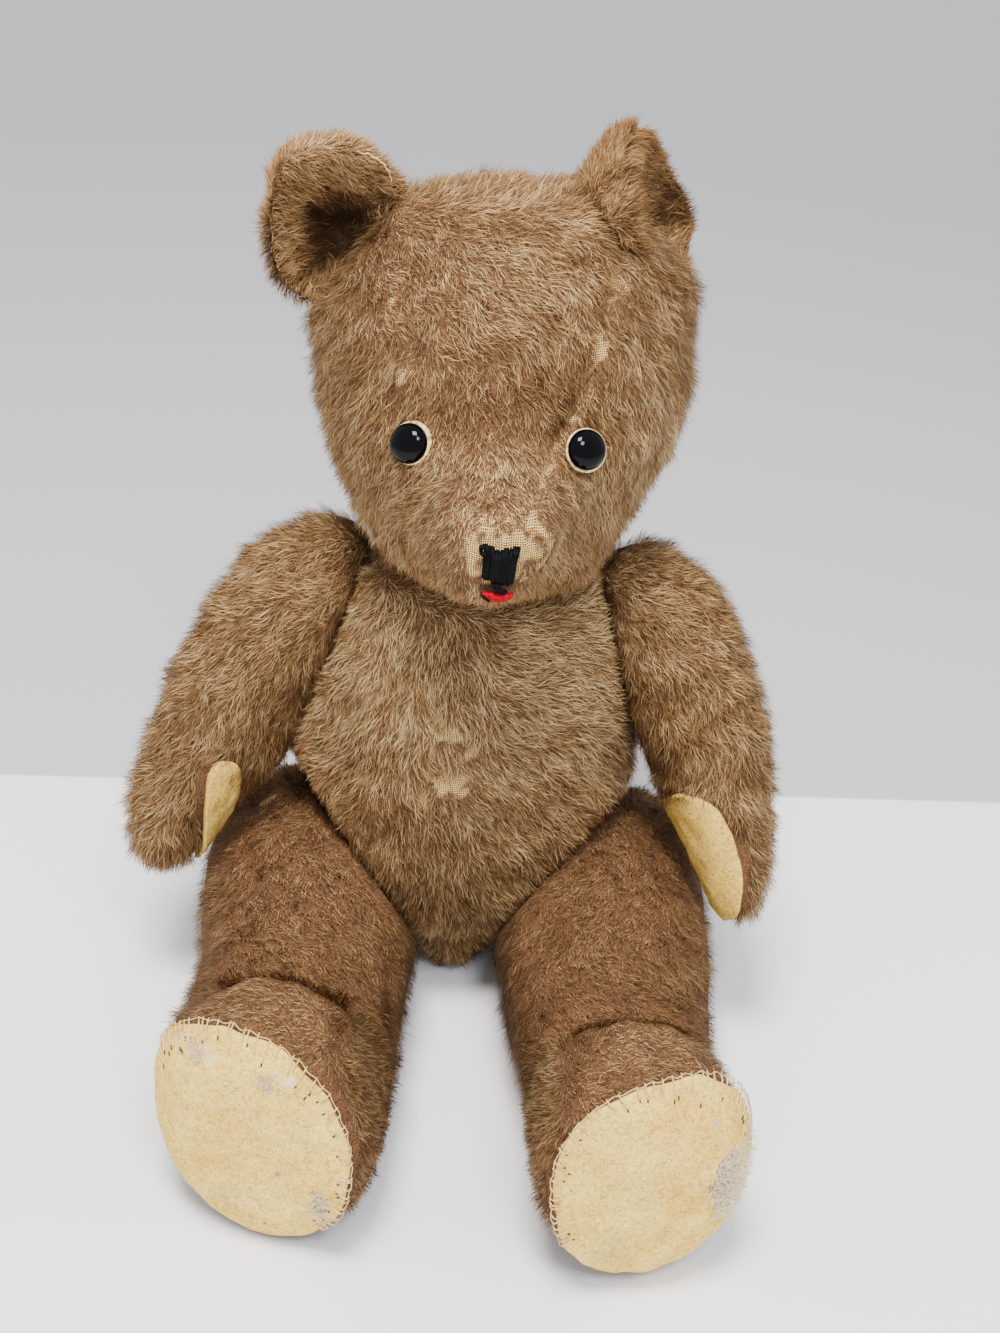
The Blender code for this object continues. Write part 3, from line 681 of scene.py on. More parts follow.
raised = add_node(tree, "Bump", {"Height": thread, "Strength": 0.6, "Distance": 0.4 * MM})
look = {"Base Color": colour.outputs[2], "Normal": raised.outputs[0]}
set_inputs(shader, {**look, "Roughness": 0.95, "Specular IOR Level": 0.15})

for body, bag in bags.items():
    bag.data.materials.clear()
    bag.data.materials.append(backing)
    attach(bag, body)
    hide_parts(*BAGS[body][0][:2])

# --- Felt soles and paws ---------------------------------------------------------
# Cut wool felt let into the ends of the feet and the inner faces of the paws. The
# soles are crowned by the stuffing, rubbed and spotted, and worn through.


# The face of each felt pad: middle in mm, the ways across, up and out of it, and its
# half sizes in mm.
PADS = {
    "foot_left": (
        (65, -160, 43.5),
        (0.9744, 0.225, 0),
        (0, 0, 1),
        (0.225, -0.9744, 0),
        (32, 40),
    ),
    "foot_right": (
        (-53, -153, 43),
        (0.9744, -0.225, 0),
        (0, 0, 1),
        (-0.225, -0.9744, 0),
        (32, 37.5),
    ),
    "paw_left": (
        (98.9, -42.8, 80.8),
        (0.4208, -0.6753, 0.6058),
        (-0.4771, 0.4032, 0.7809),
        (-0.7716, -0.6176, -0.1525),
        (17, 26),
    ),
    "paw_right": (
        (-100.6, -35.2, 79.0),
        (0.6180, 0.7799, -0.0998),
        (0.2131, -0.0439, 0.9760),
        (0.7567, -0.6245, -0.1933),
        (7, 24),
    ),
}
# How each felt departs from an oval of those half sizes: its size as a share, its
# squareness, and a corner let out: the share and its angle in degrees.
FELT_CUT = {
    "foot_left": (1.0, 2.2, 0.09, 142),
    "foot_right": (1.04, 2.15, 0.04, 130),
    "paw_left": (1.0, 3.3, 0.0, 0),
    "paw_right": (1.0, 2.3, 0.0, 0),
}
CORNER_WIDTH = 0.55  # radians
BODY_OF = {
    f"{kind}_{side}": f"{limb}_{side}"
    for kind, limb in (("foot", "leg"), ("paw", "arm"))
    for side in ("left", "right")
}
PAD_OF = {body: pad for pad, body in BODY_OF.items()}
FELT_THICK, FELT_PROUD = 1.6, 0.6  # mm


def in_pad(points, pad):
    """Each point in a pad's own frame, in mm: across, up and out."""
    middle, across, upward, outward, _ = PADS[pad]
    return (points / MM - middle) @ np.array([across, upward, outward], float).T


def cut(angle, pad):
    """The felt's edge at each angle as a share of the oval: a superellipse with a bell
    for the corner let out."""
    size, square, more, corner = FELT_CUT[pad]
    share = (abs(np.cos(angle)) ** square + abs(np.sin(angle)) ** square) ** (-1 / square)
    turn = (angle - math.radians(corner) + math.pi) % (2 * math.pi) - math.pi
    return size * (share + more * np.exp(-((turn / CORNER_WIDTH) ** 2)))


def triangles_of(mesh):
    """A mesh's triangles as corner numbers."""
    mesh.calc_loop_triangles()
    found = np.zeros(len(mesh.loop_triangles) * 3, np.int32)
    mesh.loop_triangles.foreach_get("vertices", found)
    return found.reshape(-1, 3)


def drop(points, way, nodes, many=2000):
    """How far each point goes along a way before it meets the CAD nodes' triangles. For
    each pair, the plane's crossing and its shares of the two edges are solved, so many
    points at a time; the nearest crossing inside a triangle is kept, or infinity."""
    corners = []
    for node in nodes:
        mesh = frame["nodes"][node].data
        corners.append(corners_of(mesh)[0][triangles_of(mesh)])
    a, b, c = np.concatenate(corners).transpose(1, 0, 2)
    e1, e2 = b - a, c - a
    p = np.cross(way, e2)
    det = (e1 * p).sum(axis=1)
    fit = abs(det) > 1e-12
    a, e1, e2, p, det = a[fit], e1[fit], e2[fit], p[fit], det[fit]
    t_best = np.full(len(points), np.inf)
    for k in range(0, len(points), many):
        s = points[k : k + many, None] - a[None]
        u = (s * p).sum(axis=2) / det
        q = np.cross(s, e1[None])
        v = (q @ way) / det
        t = (q * e2[None]).sum(axis=2) / det
        t = np.where((u > -1e-6) & (v > -1e-6) & (u + v < 1 + 1e-6) & (t > 0), t, np.inf)
        t_best[k : k + many] = t.min(axis=1)
    return t_best


def crown(pad, nodes):
    """A pad's smooth face as a function of across and up in mm: the fifth-order
    polynomial nearest to the CAD surface over the pad's oval. Past its reach it stays
    as it is there."""
    middle, across, upward, outward, half = (np.array(v, float) for v in PADS[pad])
    reach, start = 1.12, 70.0  # a share of the half sizes, and mm out of the face
    r = np.linspace(0.02, reach, 19)
    r, a = np.meshgrid(r, np.linspace(0, 2 * math.pi, 36, endpoint=False))
    x, y = (half[0] * r * np.cos(a)).ravel(), (half[1] * r * np.sin(a)).ravel()
    starts = (middle + x[:, None] * across + y[:, None] * upward + start * outward) * MM
    height = start - drop(starts, -outward, nodes) / MM
    good = np.isfinite(height)
    powers = [(i, j) for i in range(6) for j in range(6) if i + j < 6]

    def terms(x, y):
        return np.stack([(x / half[0]) ** i * (y / half[1]) ** j for i, j in powers], axis=-1)

    fit = good.copy()
    for _ in range(3):  # drops what fell through the worn holes
        shares = np.linalg.lstsq(terms(x[fit], y[fit]), height[fit], rcond=None)[0]
        fit = good & (height > np.where(good, terms(x, y) @ shares, 0) - 1.2)

    def smooth(x, y):
        held = 1 / np.maximum(1, np.hypot(x / half[0], y / half[1]) / reach)
        return terms(x * held, y * held) @ shares

    return smooth


def out_of_pad(x, y, height, pad):
    """Points in a pad's frame, in mm, brought into the row frame, in metres, and moved
    as the stuffing under them has."""
    middle, across, upward, outward, _ = (np.array(v, float) for v in PADS[pad])
    points = middle + x[..., None] * across + y[..., None] * upward
    points = (points + height[..., None] * outward) * MM
    return shifted(points.reshape(-1, 3), BODY_OF[pad]).reshape(points.shape)


def round_faces(rows, around):
    """Four-cornered faces over rows of points that close round: each point, the one in
    the next row, that one's neighbour, and its own."""
    i, j = np.meshgrid(np.arange(rows - 1) * around, np.arange(around), indexing="ij")
    k = (j + 1) % around
    return np.stack([i + j, i + around + j, i + around + k, i + k], axis=-1).reshape(-1, 4)


def closed(name, points, faces, finish):
    """A smooth piece of points and faces, its doubles merged and its faces outward."""
    mesh = bpy.data.meshes.new(name)
    mesh.from_pydata(points.reshape(-1, 3).tolist(), [], faces)
    sheet = bmesh.new()
    sheet.from_mesh(mesh)
    bmesh.ops.remove_doubles(sheet, verts=sheet.verts, dist=0.004 * MM)
    bmesh.ops.delete(sheet, geom=[v for v in sheet.verts if not v.link_faces], context="VERTS")
    bmesh.ops.recalc_face_normals(sheet, faces=sheet.faces)
    sheet.to_mesh(mesh)
    sheet.free()
    mesh.polygons.foreach_set("use_smooth", np.ones(len(mesh.polygons), bool))
    return show(name, mesh, finish)


def felt_pad(name, pad, rings, spokes, height, hole):
    """A felt pad: a grid of rings and spokes over the oval with its height worked out
    at each point, a turned-down rim, and the same grid below it as a back. Faces whose
    middle is in a hole are left out."""
    half_w, half_h = PADS[pad][4]
    r = np.concatenate([np.linspace(0, 1, rings), [1.012, 1]])
    a = np.linspace(0, 2 * math.pi, spokes, endpoint=False)
    rr, aa = np.meshgrid(r, a, indexing="ij")
    wobble = cut(aa, pad) * (1 + 0.01 * np.sin(5 * aa + 1) + 0.008 * np.sin(11 * aa))
    x, y = half_w * rr * wobble * np.cos(aa), half_h * rr * wobble * np.sin(aa)
    h = height(x, y)
    h[-2] -= 0.35 * FELT_THICK
    h[-1] -= FELT_THICK
    under = height(x[:rings], y[:rings])[::-1] - FELT_THICK
    x, y = (np.concatenate([v, v[:rings][::-1]]) for v in (x, y))
    points = out_of_pad(x, y, np.concatenate([h, under]), pad)
    faces = round_faces(len(x), spokes)
    faces = faces[~hole(*(v.reshape(-1)[faces].mean(axis=1) for v in (x, y)))]
    return closed(name, points, faces.tolist(), felt)


# Spots on the soles: a colour, and each spot's place and radius in mm.
SPOTS = {
    "5E4630": [
        (70.6, -182.7, 53.6, 1.0),
        (78.1, -180.8, 52.9, 0.8),
        (43, -187.9, 49.7, 0.7),
        (62.2, -181.8, 77.5, 0.7),
        (66.7, -181.7, 74.6, 0.6),
        (50.2, -186, 62, 0.5),
        (83, -178, 38, 0.6),
        (-46.2, -178.8, 37.3, 1.3),
        (-50.7, -175.7, 12.8, 1.1),
    ],
    "857F5C": [
        (-75.7, -169.4, 63.2, 1.5),
        (-72.7, -171.2, 59.5, 1.3),
        (-59.7, -174.9, 67.1, 1.0),
        (-46.1, -178.3, 60.3, 1.2),
        (-38.4, -179.8, 61.3, 0.8),
        (-42.2, -179.4, 46.3, 0.9),
    ],
    "A69572": [
        (76.1, -179.5, 14.8, 4.5),
        (-62, -176, 22, 7.0),
        (58, -186, 24, 8.0),
        (-44, -179, 38, 3.6),
    ],
    "9CA3B4": [(44.7, -181.3, 75.8, 1.6), (84.7, -175.4, 69.8, 1.8)],
    "F4F0EE": [
        (-68.5, -169.5, 74.4, 3.4),
        (-43.8, -176.9, 73.5, 3.0),
        (91, -168, 40, 8.0),
        (90, -168, 26, 6.0),
    ],
}

# Wool felt: matted fibre, cream gone yellow, matt, with pills and grime. It has
# yellowed in clouds and mottled in specks, and its spots have ragged edges; on the
# paws, which sit in shade, it is painted greyer as painted shade.
CLOUD_SIZE, SPECK_SIZE, RAGGED_SIZE = 16.67 * MM, 1.25 * MM, 2.381 * MM
SOLES_END, PAWS_START = -120 * MM, -90 * MM

felt, tree, shader = new_material("cream_wool_felt")
place = add_node(tree, "TexCoord", {}).outputs["Object"]
clouds = {"Vector": place, "Scale": 1 / CLOUD_SIZE, "Detail": 4}
clouds = add_node(tree, "TexNoise", clouds).outputs["Fac"]
specks = {"Vector": place, "Scale": 1 / SPECK_SIZE, "Detail": 4, "Distortion": 1.5}
specks = add_node(tree, "TexNoise", specks).outputs["Fac"]
colour = [(0.3, "E9BF5A"), (0.5, "F3CE6A"), (0.7, "F9DB79")]
colour = add_node(tree, "ValToRGB", {"Fac": clouds}, colour).outputs["Color"]
mottle = [(0.36, "BDAE90"), (0.56, "FFFFFF")]
mottle = add_node(tree, "ValToRGB", {"Fac": specks}, mottle).outputs["Color"]
multiply = {"data_type": "RGBA", "blend_type": "MULTIPLY"}
colour = add_node(tree, "Mix", {0: 0.8, 6: colour, 7: mottle}, **multiply).outputs[2]
ragged = add_node(tree, "TexNoise", {"Vector": place, "Scale": 1 / RAGGED_SIZE, "Detail": 2})
ragged = {"Value": ragged.outputs["Fac"], "From Min": 0.3, "From Max": 0.6}
ragged = add_node(tree, "MapRange", ragged).outputs[0]
for code, spots in SPOTS.items():
    for *at, radius in spots:
        off = {0: place, 1: np.multiply(at, MM).tolist()}
        off = add_node(tree, "VectorMath", off, operation="DISTANCE").outputs["Value"]
        fade = {"From Min": radius * 1.15 * MM, "From Max": radius * 0.35 * MM}
        fade["To Max"] = 0.85 if radius < 3 else 0.5
        mask = add_node(tree, "MapRange", {"Value": off, **fade}).outputs[0]
        mask = add_node(tree, "Math", {0: mask, 1: ragged}, operation="MULTIPLY").outputs[0]
        colour = {0: mask, 6: colour, 7: linear(code)}
        colour = add_node(tree, "Mix", colour, data_type="RGBA").outputs[2]
# Painted shade: the felt greys from the soles towards the paws.
where = add_node(tree, "SeparateXYZ", {"Vector": place}).outputs["Y"]
paw_shade = {"Value": where, "From Min": SOLES_END, "From Max": PAWS_START}
paw_shade = add_node(tree, "MapRange", paw_shade).outputs[0]
colour = add_node(tree, "Mix", {0: paw_shade, 6: colour, 7: linear("E7E3E2")}, **multiply)
raised = add_node(tree, "Bump", {"Height": specks, "Strength": 0.6, "Distance": 0.4 * MM})
look = {"Base Color": colour.outputs[2], "Normal": raised.outputs[0]}
set_inputs(shader, {**look, "Roughness": 0.95, "Specular IOR Level": 0.1})

# Worn through: the middle and half sizes of each hole, across and up in mm.
HOLES = {"foot_left": (21, 3, 4.2, 12.5), "foot_right": (24, -15, 1.2, 6.0)}
crowns, faces_of = {}, {}
for pad, body in BODY_OF.items():
    (kind, side), limb = pad.split("_"), body.split("_")[0]
    crowns[pad] = crown(pad, [f"{kind}_pad_{side}", f"{limb}_cover_{side}"])

    def face(x, y, pad=pad):
        """The felt's top: the crown, a little proud, with soft lumps and pills."""
        at = out_of_pad(x, y, crowns[pad](x, y), pad)
        lumps = swell(at.reshape(-1, 3), 9, 41).reshape(x.shape)
        pills = swell(at.reshape(-1, 3), 2.2, 42).reshape(x.shape)
        return crowns[pad](x, y) + FELT_PROUD + 0.25 * lumps + 0.08 * pills

    def worn_through(x, y, pad=pad):
        """Inside the ragged oval where the felt has gone."""
        if pad not in HOLES:
            return np.zeros(len(x), bool)
        hole_x, hole_y, half_w, half_h = HOLES[pad]
        a = np.arctan2((y - hole_y) / half_h, (x - hole_x) / half_w)
        ragged = 1 + 0.22 * np.sin(3 * a + 1) * np.cos(5 * a)
        return ((x - hole_x) / half_w) ** 2 + ((y - hole_y) / half_h) ** 2 < ragged**2

    rings, spokes = (26, 96) if kind == "foot" else (12, 60)
    faces_of[pad] = face
    piece = felt_pad(f"{pad}_felt", pad, rings, spokes, face, worn_through)
    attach(piece, body)
    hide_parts(f"{kind}_pad_{side}")

# --- Blanket stitches ------------------------------------------------------------
# Cream cotton thread, doubled: short stitches square to the sole's edge over its top
# and sides, joined by a thread round the edge. Underneath the felt is turned in.
STITCHES, STITCH_R, HOLE_R = 46, 0.23 * MM, 0.28 * MM
STITCHED = {"foot_left": (8, 206), "foot_right": (-44, 152)}  # from and to, in degrees


def threads(name, lines, radius, outward, finish, sides=6):
    """Threads along lines (n, points, 3): round each point a ring of that radius,
    square to the line, from the crosses of its way and the way out; ends closed."""
    ways = unit(np.gradient(lines, axis=1))
    side = unit(np.cross(ways, outward))
    over = np.cross(side, ways)
    a = np.linspace(0, 2 * math.pi, sides, endpoint=False)[:, None]
    ring = np.cos(a) * side[:, :, None] + np.sin(a) * over[:, :, None]
    radius = np.broadcast_to(radius, lines.shape[:2])
    points = lines[:, :, None] + ring * radius[:, :, None, None]
    index = np.arange(points[..., 0].size).reshape(points.shape[:3])
    after = np.roll(index, -1, axis=2)
    quads = np.stack([index[:, :-1], index[:, 1:], after[:, 1:], after[:, :-1]], axis=-1)
    ends = np.concatenate([index[:, 0], index[:, -1, ::-1]])
    return closed(name, points, quads.reshape(-1, 4).tolist() + ends.tolist(), finish)


# Cotton thread: two plies, soft sheen, yellowed.
plies = [(0.3, "B4925A"), (0.65, "E2C98F")]
cotton = flecked("cream_cotton_thread", 0.714, 2, plies, {"Roughness": 0.8})

# Painted shade in the needle holes: nearly black brown.
hole_shade_tones = [(0.4, "2E2114"), (0.6, "54402A")]
hole_shade = flecked("needle_hole_shade", 0.714, 2, hole_shade_tones, {"Roughness": 1.0})


def on_pad(pad, share, angle, lift):
    """Points on a felt face: a share of the way out, at an angle, lifted in mm."""
    half_w, half_h = PADS[pad][4]
    x, y = half_w * share * np.cos(angle), half_h * share * np.sin(angle)
    return out_of_pad(x, y, faces_of[pad](x, y) + lift, pad)


for number, side in enumerate(("left", "right")):
    pad = f"foot_{side}"
    chance = np.random.default_rng(300 + number)
    start, end = np.radians(STITCHED[pad])
    u = np.linspace(0, 1, STITCHES) + 0.005 * chance.normal(size=STITCHES)
    angle = (start + (end - start) * (u - 0.045 * np.sin(2 * math.pi * u)))[:, None]
    slant = np.radians(1.3) * chance.normal(size=(STITCHES, 1))
    along = np.linspace(0, 1, 7)[None]
    edge = cut(angle, pad) + 0.045
    long = (0.125 + 0.022 * chance.normal(size=(STITCHES, 1))) * along
    # Out from under the edge, over it, and down into the felt.
    lift = np.array([[-0.9, 0.5, 0.75, 0.55, 0.42, 0.2, -0.7]])
    lines = on_pad(pad, edge - long, angle + slant * along, lift + np.zeros_like(long))
    outward = np.array(PADS[pad][3])
    stitches = threads(f"sole_stitches_{side}", lines, STITCH_R, outward, cotton)
    reach = long[:, -1:] + np.array([[-0.012, 0.0, 0.014]])
    inner = on_pad(pad, edge - reach, angle + slant, np.array([[-0.1, 0.16, -0.1]]))
    inner = inner[chance.random(STITCHES) < 0.5]
    # Dots of painted shade in half of the needle holes.
    holes = threads(f"needle_holes_{side}", inner, HOLE_R, outward, hole_shade)
    round_edge = np.linspace(start, end, 130)[None]
    wander = cut(round_edge, pad) + 0.04 + 0.008 * np.sin(round_edge * 37)
    rope = on_pad(pad, wander, round_edge, -0.3)
    rope = threads(f"sole_edge_thread_{side}", rope, STITCH_R * 0.7, outward, cotton)
    for piece in (stitches, holes, rope):
        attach(piece, f"leg_{side}")

# --- Pile ----------------------------------------------------------------------
# Mohair pile: goat hair worn to 4 to 8 mm long, cut and brushed to lie over. Thin blades
# stand for tufts of it: straight ones for the undercoat, bent ones on top. It lies
# where years of handling have combed it, and is worn off in places.


def combed(points, guides):
    """The way the pile lies: the guides' ways, each weighed by the inverse fourth
    power of its distance in mm."""
    guides = np.array(guides, float)
    away = ((points[:, None] / MM - guides[None, :, :3]) ** 2).sum(axis=2)
    weight = 1 / (away + 60) ** 2
    return unit((weight[:, :, None] * unit(guides[None, :, 3:])).sum(axis=1))


def sow(mesh, count, chance):
    """Points spread evenly over a mesh by area, with their normals: the running total
    of the triangles' areas is cut in equal steps, with one point in each."""
    (corners, normals), tris = corners_of(mesh), triangles_of(mesh)
    a, b, c = (corners[tris[:, k]] for k in range(3))
    area = np.cumsum(np.linalg.norm(np.cross(b - a, c - a), axis=1))
    picked = np.searchsorted(area, (np.arange(count) + chance.random(count)) / count * area[-1])
    picked = np.minimum(picked, len(tris) - 1)
    u, v = chance.random((2, count))
    over = u + v > 1
    u, v = np.where(over, 1 - u, u), np.where(over, 1 - v, v)
    share, tris = np.stack([1 - u - v, u, v], axis=1)[:, :, None], tris[picked]
    return (corners[tris] * share).sum(axis=1), unit((normals[tris] * share).sum(axis=1))


# How far blades stray from the way the comb left them, tuft by tuft and blade by blade,
# and how far their lean does; the leans allowed, and how much further a bent one folds.
STRAY, LEAN_STRAY = np.radians((14, 11)), (11, 10)
LEANS_ALLOWED, FOLDS_MORE, MOST_FOLDED = (0.15, 1.45), (8, 34), 1.75
ROOT_DEPTH = 0.2 * MM


def blades(name, finish, places, lie, long, wide, lean, tone, bent, keep_in, chance):
    """Blades of pile as one piece. Each starts at a place, a point with its normal,
    leans over by lean degrees towards lie, and is a triangle, or where bent a kite that
    folds further over at its middle. Across the map runs the tone, and up it the way
    from root to tip."""
    points, normals = places
    count = len(points)
    lie = unit(lie - (lie * normals).sum(axis=1, keepdims=True) * normals)
    swing = STRAY[0] * swell(points, 12, 21) + STRAY[1] * chance.normal(size=count)
    across = np.cross(normals, lie)
    lie = lie * np.cos(swing)[:, None] + across * np.sin(swing)[:, None]
    across = np.cross(normals, lie)
    lean = lean + LEAN_STRAY[0] * swell(points, 6, 22) + LEAN_STRAY[1] * chance.normal(size=count)
    lean = np.clip(np.radians(lean), *LEANS_ALLOWED)[:, None]
    fold = lean + np.radians(chance.uniform(*FOLDS_MORE, count))[:, None]
    fold = np.minimum(fold, MOST_FOLDED)
    half = (long / 2)[:, None]
    root = points - normals * ROOT_DEPTH
    middle = root + (lie * np.sin(lean) + normals * np.cos(lean)) * half
    curl = across * (chance.normal(size=count)[:, None] * half * 0.3)
    tip = middle + (lie * np.sin(fold) + normals * np.cos(fold)) * half + curl
    side = across * (wide / 2)[:, None]
    low = np.where(bent[:, None], middle, root)
    spots = np.stack([root, low - side, low + side, tip], axis=1)
    spots = keep_in(spots.reshape(-1, 3)).reshape(-1, 4, 3)
    kites, plain = np.flatnonzero(bent), np.flatnonzero(~bent)
    size = np.where(bent, 4, 3)
    start = np.cumsum(size) - size
    used = np.ones((count, 4), bool)
    used[plain, 0] = False
    corners = spots[used]
    kites, plain = start[kites][:, None], start[plain][:, None]
    faces = np.concatenate([kites + [0, 1, 2], kites + [1, 3, 2], plain + [0, 2, 1]])
    mesh = bpy.data.meshes.new(name)
    mesh.vertices.add(len(corners))
    mesh.vertices.foreach_set("co", corners.astype(np.float32).ravel())
    mesh.loops.add(faces.size)
    mesh.loops.foreach_set("vertex_index", faces.astype(np.int32).ravel())
    mesh.polygons.add(len(faces))
    mesh.polygons.foreach_set("loop_start", np.arange(0, faces.size, 3, dtype=np.int32))
    mesh.update(calc_edges=True)
    tone = np.clip(tone, 0.03, 0.97)
    where = np.stack([tone, tone - 0.012, tone + 0.012, tone], axis=1)
    climb = np.where(bent[:, None], [0.03, 0.5, 0.5, 0.97], [0.03, 0.03, 0.03, 0.97])
    at = np.stack([where, climb], axis=2)[used]
    chart = mesh.uv_layers.new(name="OFBake")
    chart.data.foreach_set("uv", at[faces.ravel()].astype(np.float32).ravel())
    tilt = np.repeat(unit(normals + 0.25 * lie)[:, None], 4, axis=1)[used]
    mesh.normals_split_custom_set_from_vertices(tilt.tolist())
    return show(name, mesh, finish)


def combed_fibre(name, tones, climb, inputs):
    """A fibre's finish on the blades' own map: its tone across, and up it how much darker the root
    is, on the mohair a painted shade.
    """
    made, tree, shader = new_material(name)
    chart = add_node(tree, "UVMap", {}, uv_map="OFBake").outputs["UV"]
    chart = add_node(tree, "SeparateXYZ", {"Vector": chart}).outputs
    tones = add_node(tree, "ValToRGB", {"Fac": chart["X"]}, tones).outputs["Color"]
    climb = add_node(tree, "ValToRGB", {"Fac": chart["Y"]}, climb).outputs["Color"]
    colour = {0: 1.0, 6: tones, 7: climb}
    colour = add_node(tree, "Mix", colour, data_type="RGBA", blend_type="MULTIPLY")
    set_inputs(shader, {"Base Color": colour.outputs[2], "Specular IOR Level": 0.1, **inputs})
    return made


# Mohair: a fine lustrous hair. Its tips have bleached to tan and its roots kept
# their brown, and dust dulls it. Each blade is also painted darker towards its root,
# a painted shade for the depth of the pile.
hair = [(0.0, "342112"), (0.25, "6A4B2B"), (0.5, "9B744A"), (0.75, "CBA472"), (1.0, "F3D69C")]
# Painted shade: each blade greyed darker from tip to root.
climb = [(0.0, "7C7C7C"), (0.5, "DCDCDC"), (1.0, "FFFFFF")]
mohair = combed_fibre("mohair_pile", hair, climb, {"Roughness": 0.75})


def node_disc(name):
    """The middle of a flat round CAD node, the way it faces (the thinnest way of its
    corners, out of the head) and its radius."""
    corners = corners_of(frame["nodes"][name].data)[0]
    middle = (corners.max(axis=0) + corners.min(axis=0)) / 2
    facing = np.linalg.svd(corners - corners.mean(axis=0), full_matrices=False)[2][2]
    facing *= np.sign(facing @ (middle - np.array(HEAD_MIDDLE) * MM))
    return middle, facing, np.linalg.norm(corners - middle, axis=1).max()


EYES = {side: node_disc(f"eye_back_{side}") for side in ("left", "right")}
NOSE_AT = np.array([6.3, -97, 210])  # it sits a little to the bear's left
EYE_SUNK = np.array([-0.8, 0, -0.8]) * MM


def no_pile(points, normals, body):
    """Where there is no pile: under felt, eyes, nose and mouth, and pressed off where
    two bodies bear on each other."""
    bald = np.zeros(len(points), bool)
    if body in PAD_OF:
        pad = PAD_OF[body]
        across, upward, outward = in_pad(2 * points - shifted(points, body), pad).T
        half_w, half_h = PADS[pad][4]
        off = np.hypot(across / half_w, upward / half_h)
        edge = cut(np.arctan2(upward / half_h, across / half_w), pad)
        inside = off < edge + (0.03 if pad.startswith("foot") else -0.015)
        bald |= inside & (outward > crowns[pad](across, upward) - 6)
    if body == "head":
        for middle, facing, radius in EYES.values():
            bald |= np.linalg.norm(points - middle - EYE_SUNK, axis=1) < radius
        across, ahead, upward = (points / MM - NOSE_AT).T
        bald |= (abs(across) < 5.6) & (upward < 6.0) & (upward > -11.5) & (ahead < 14)
    for plane in joint_planes(body):
        out, flat, _ = past(points, plane)
        bald |= (out > -1 * MM) & (normals @ plane[1] > 0.9) & (flat < plane[2] * 0.85)
    return bald | (points[:, 2] < 0.9 * MM) & (normals[:, 2] < -0.9)


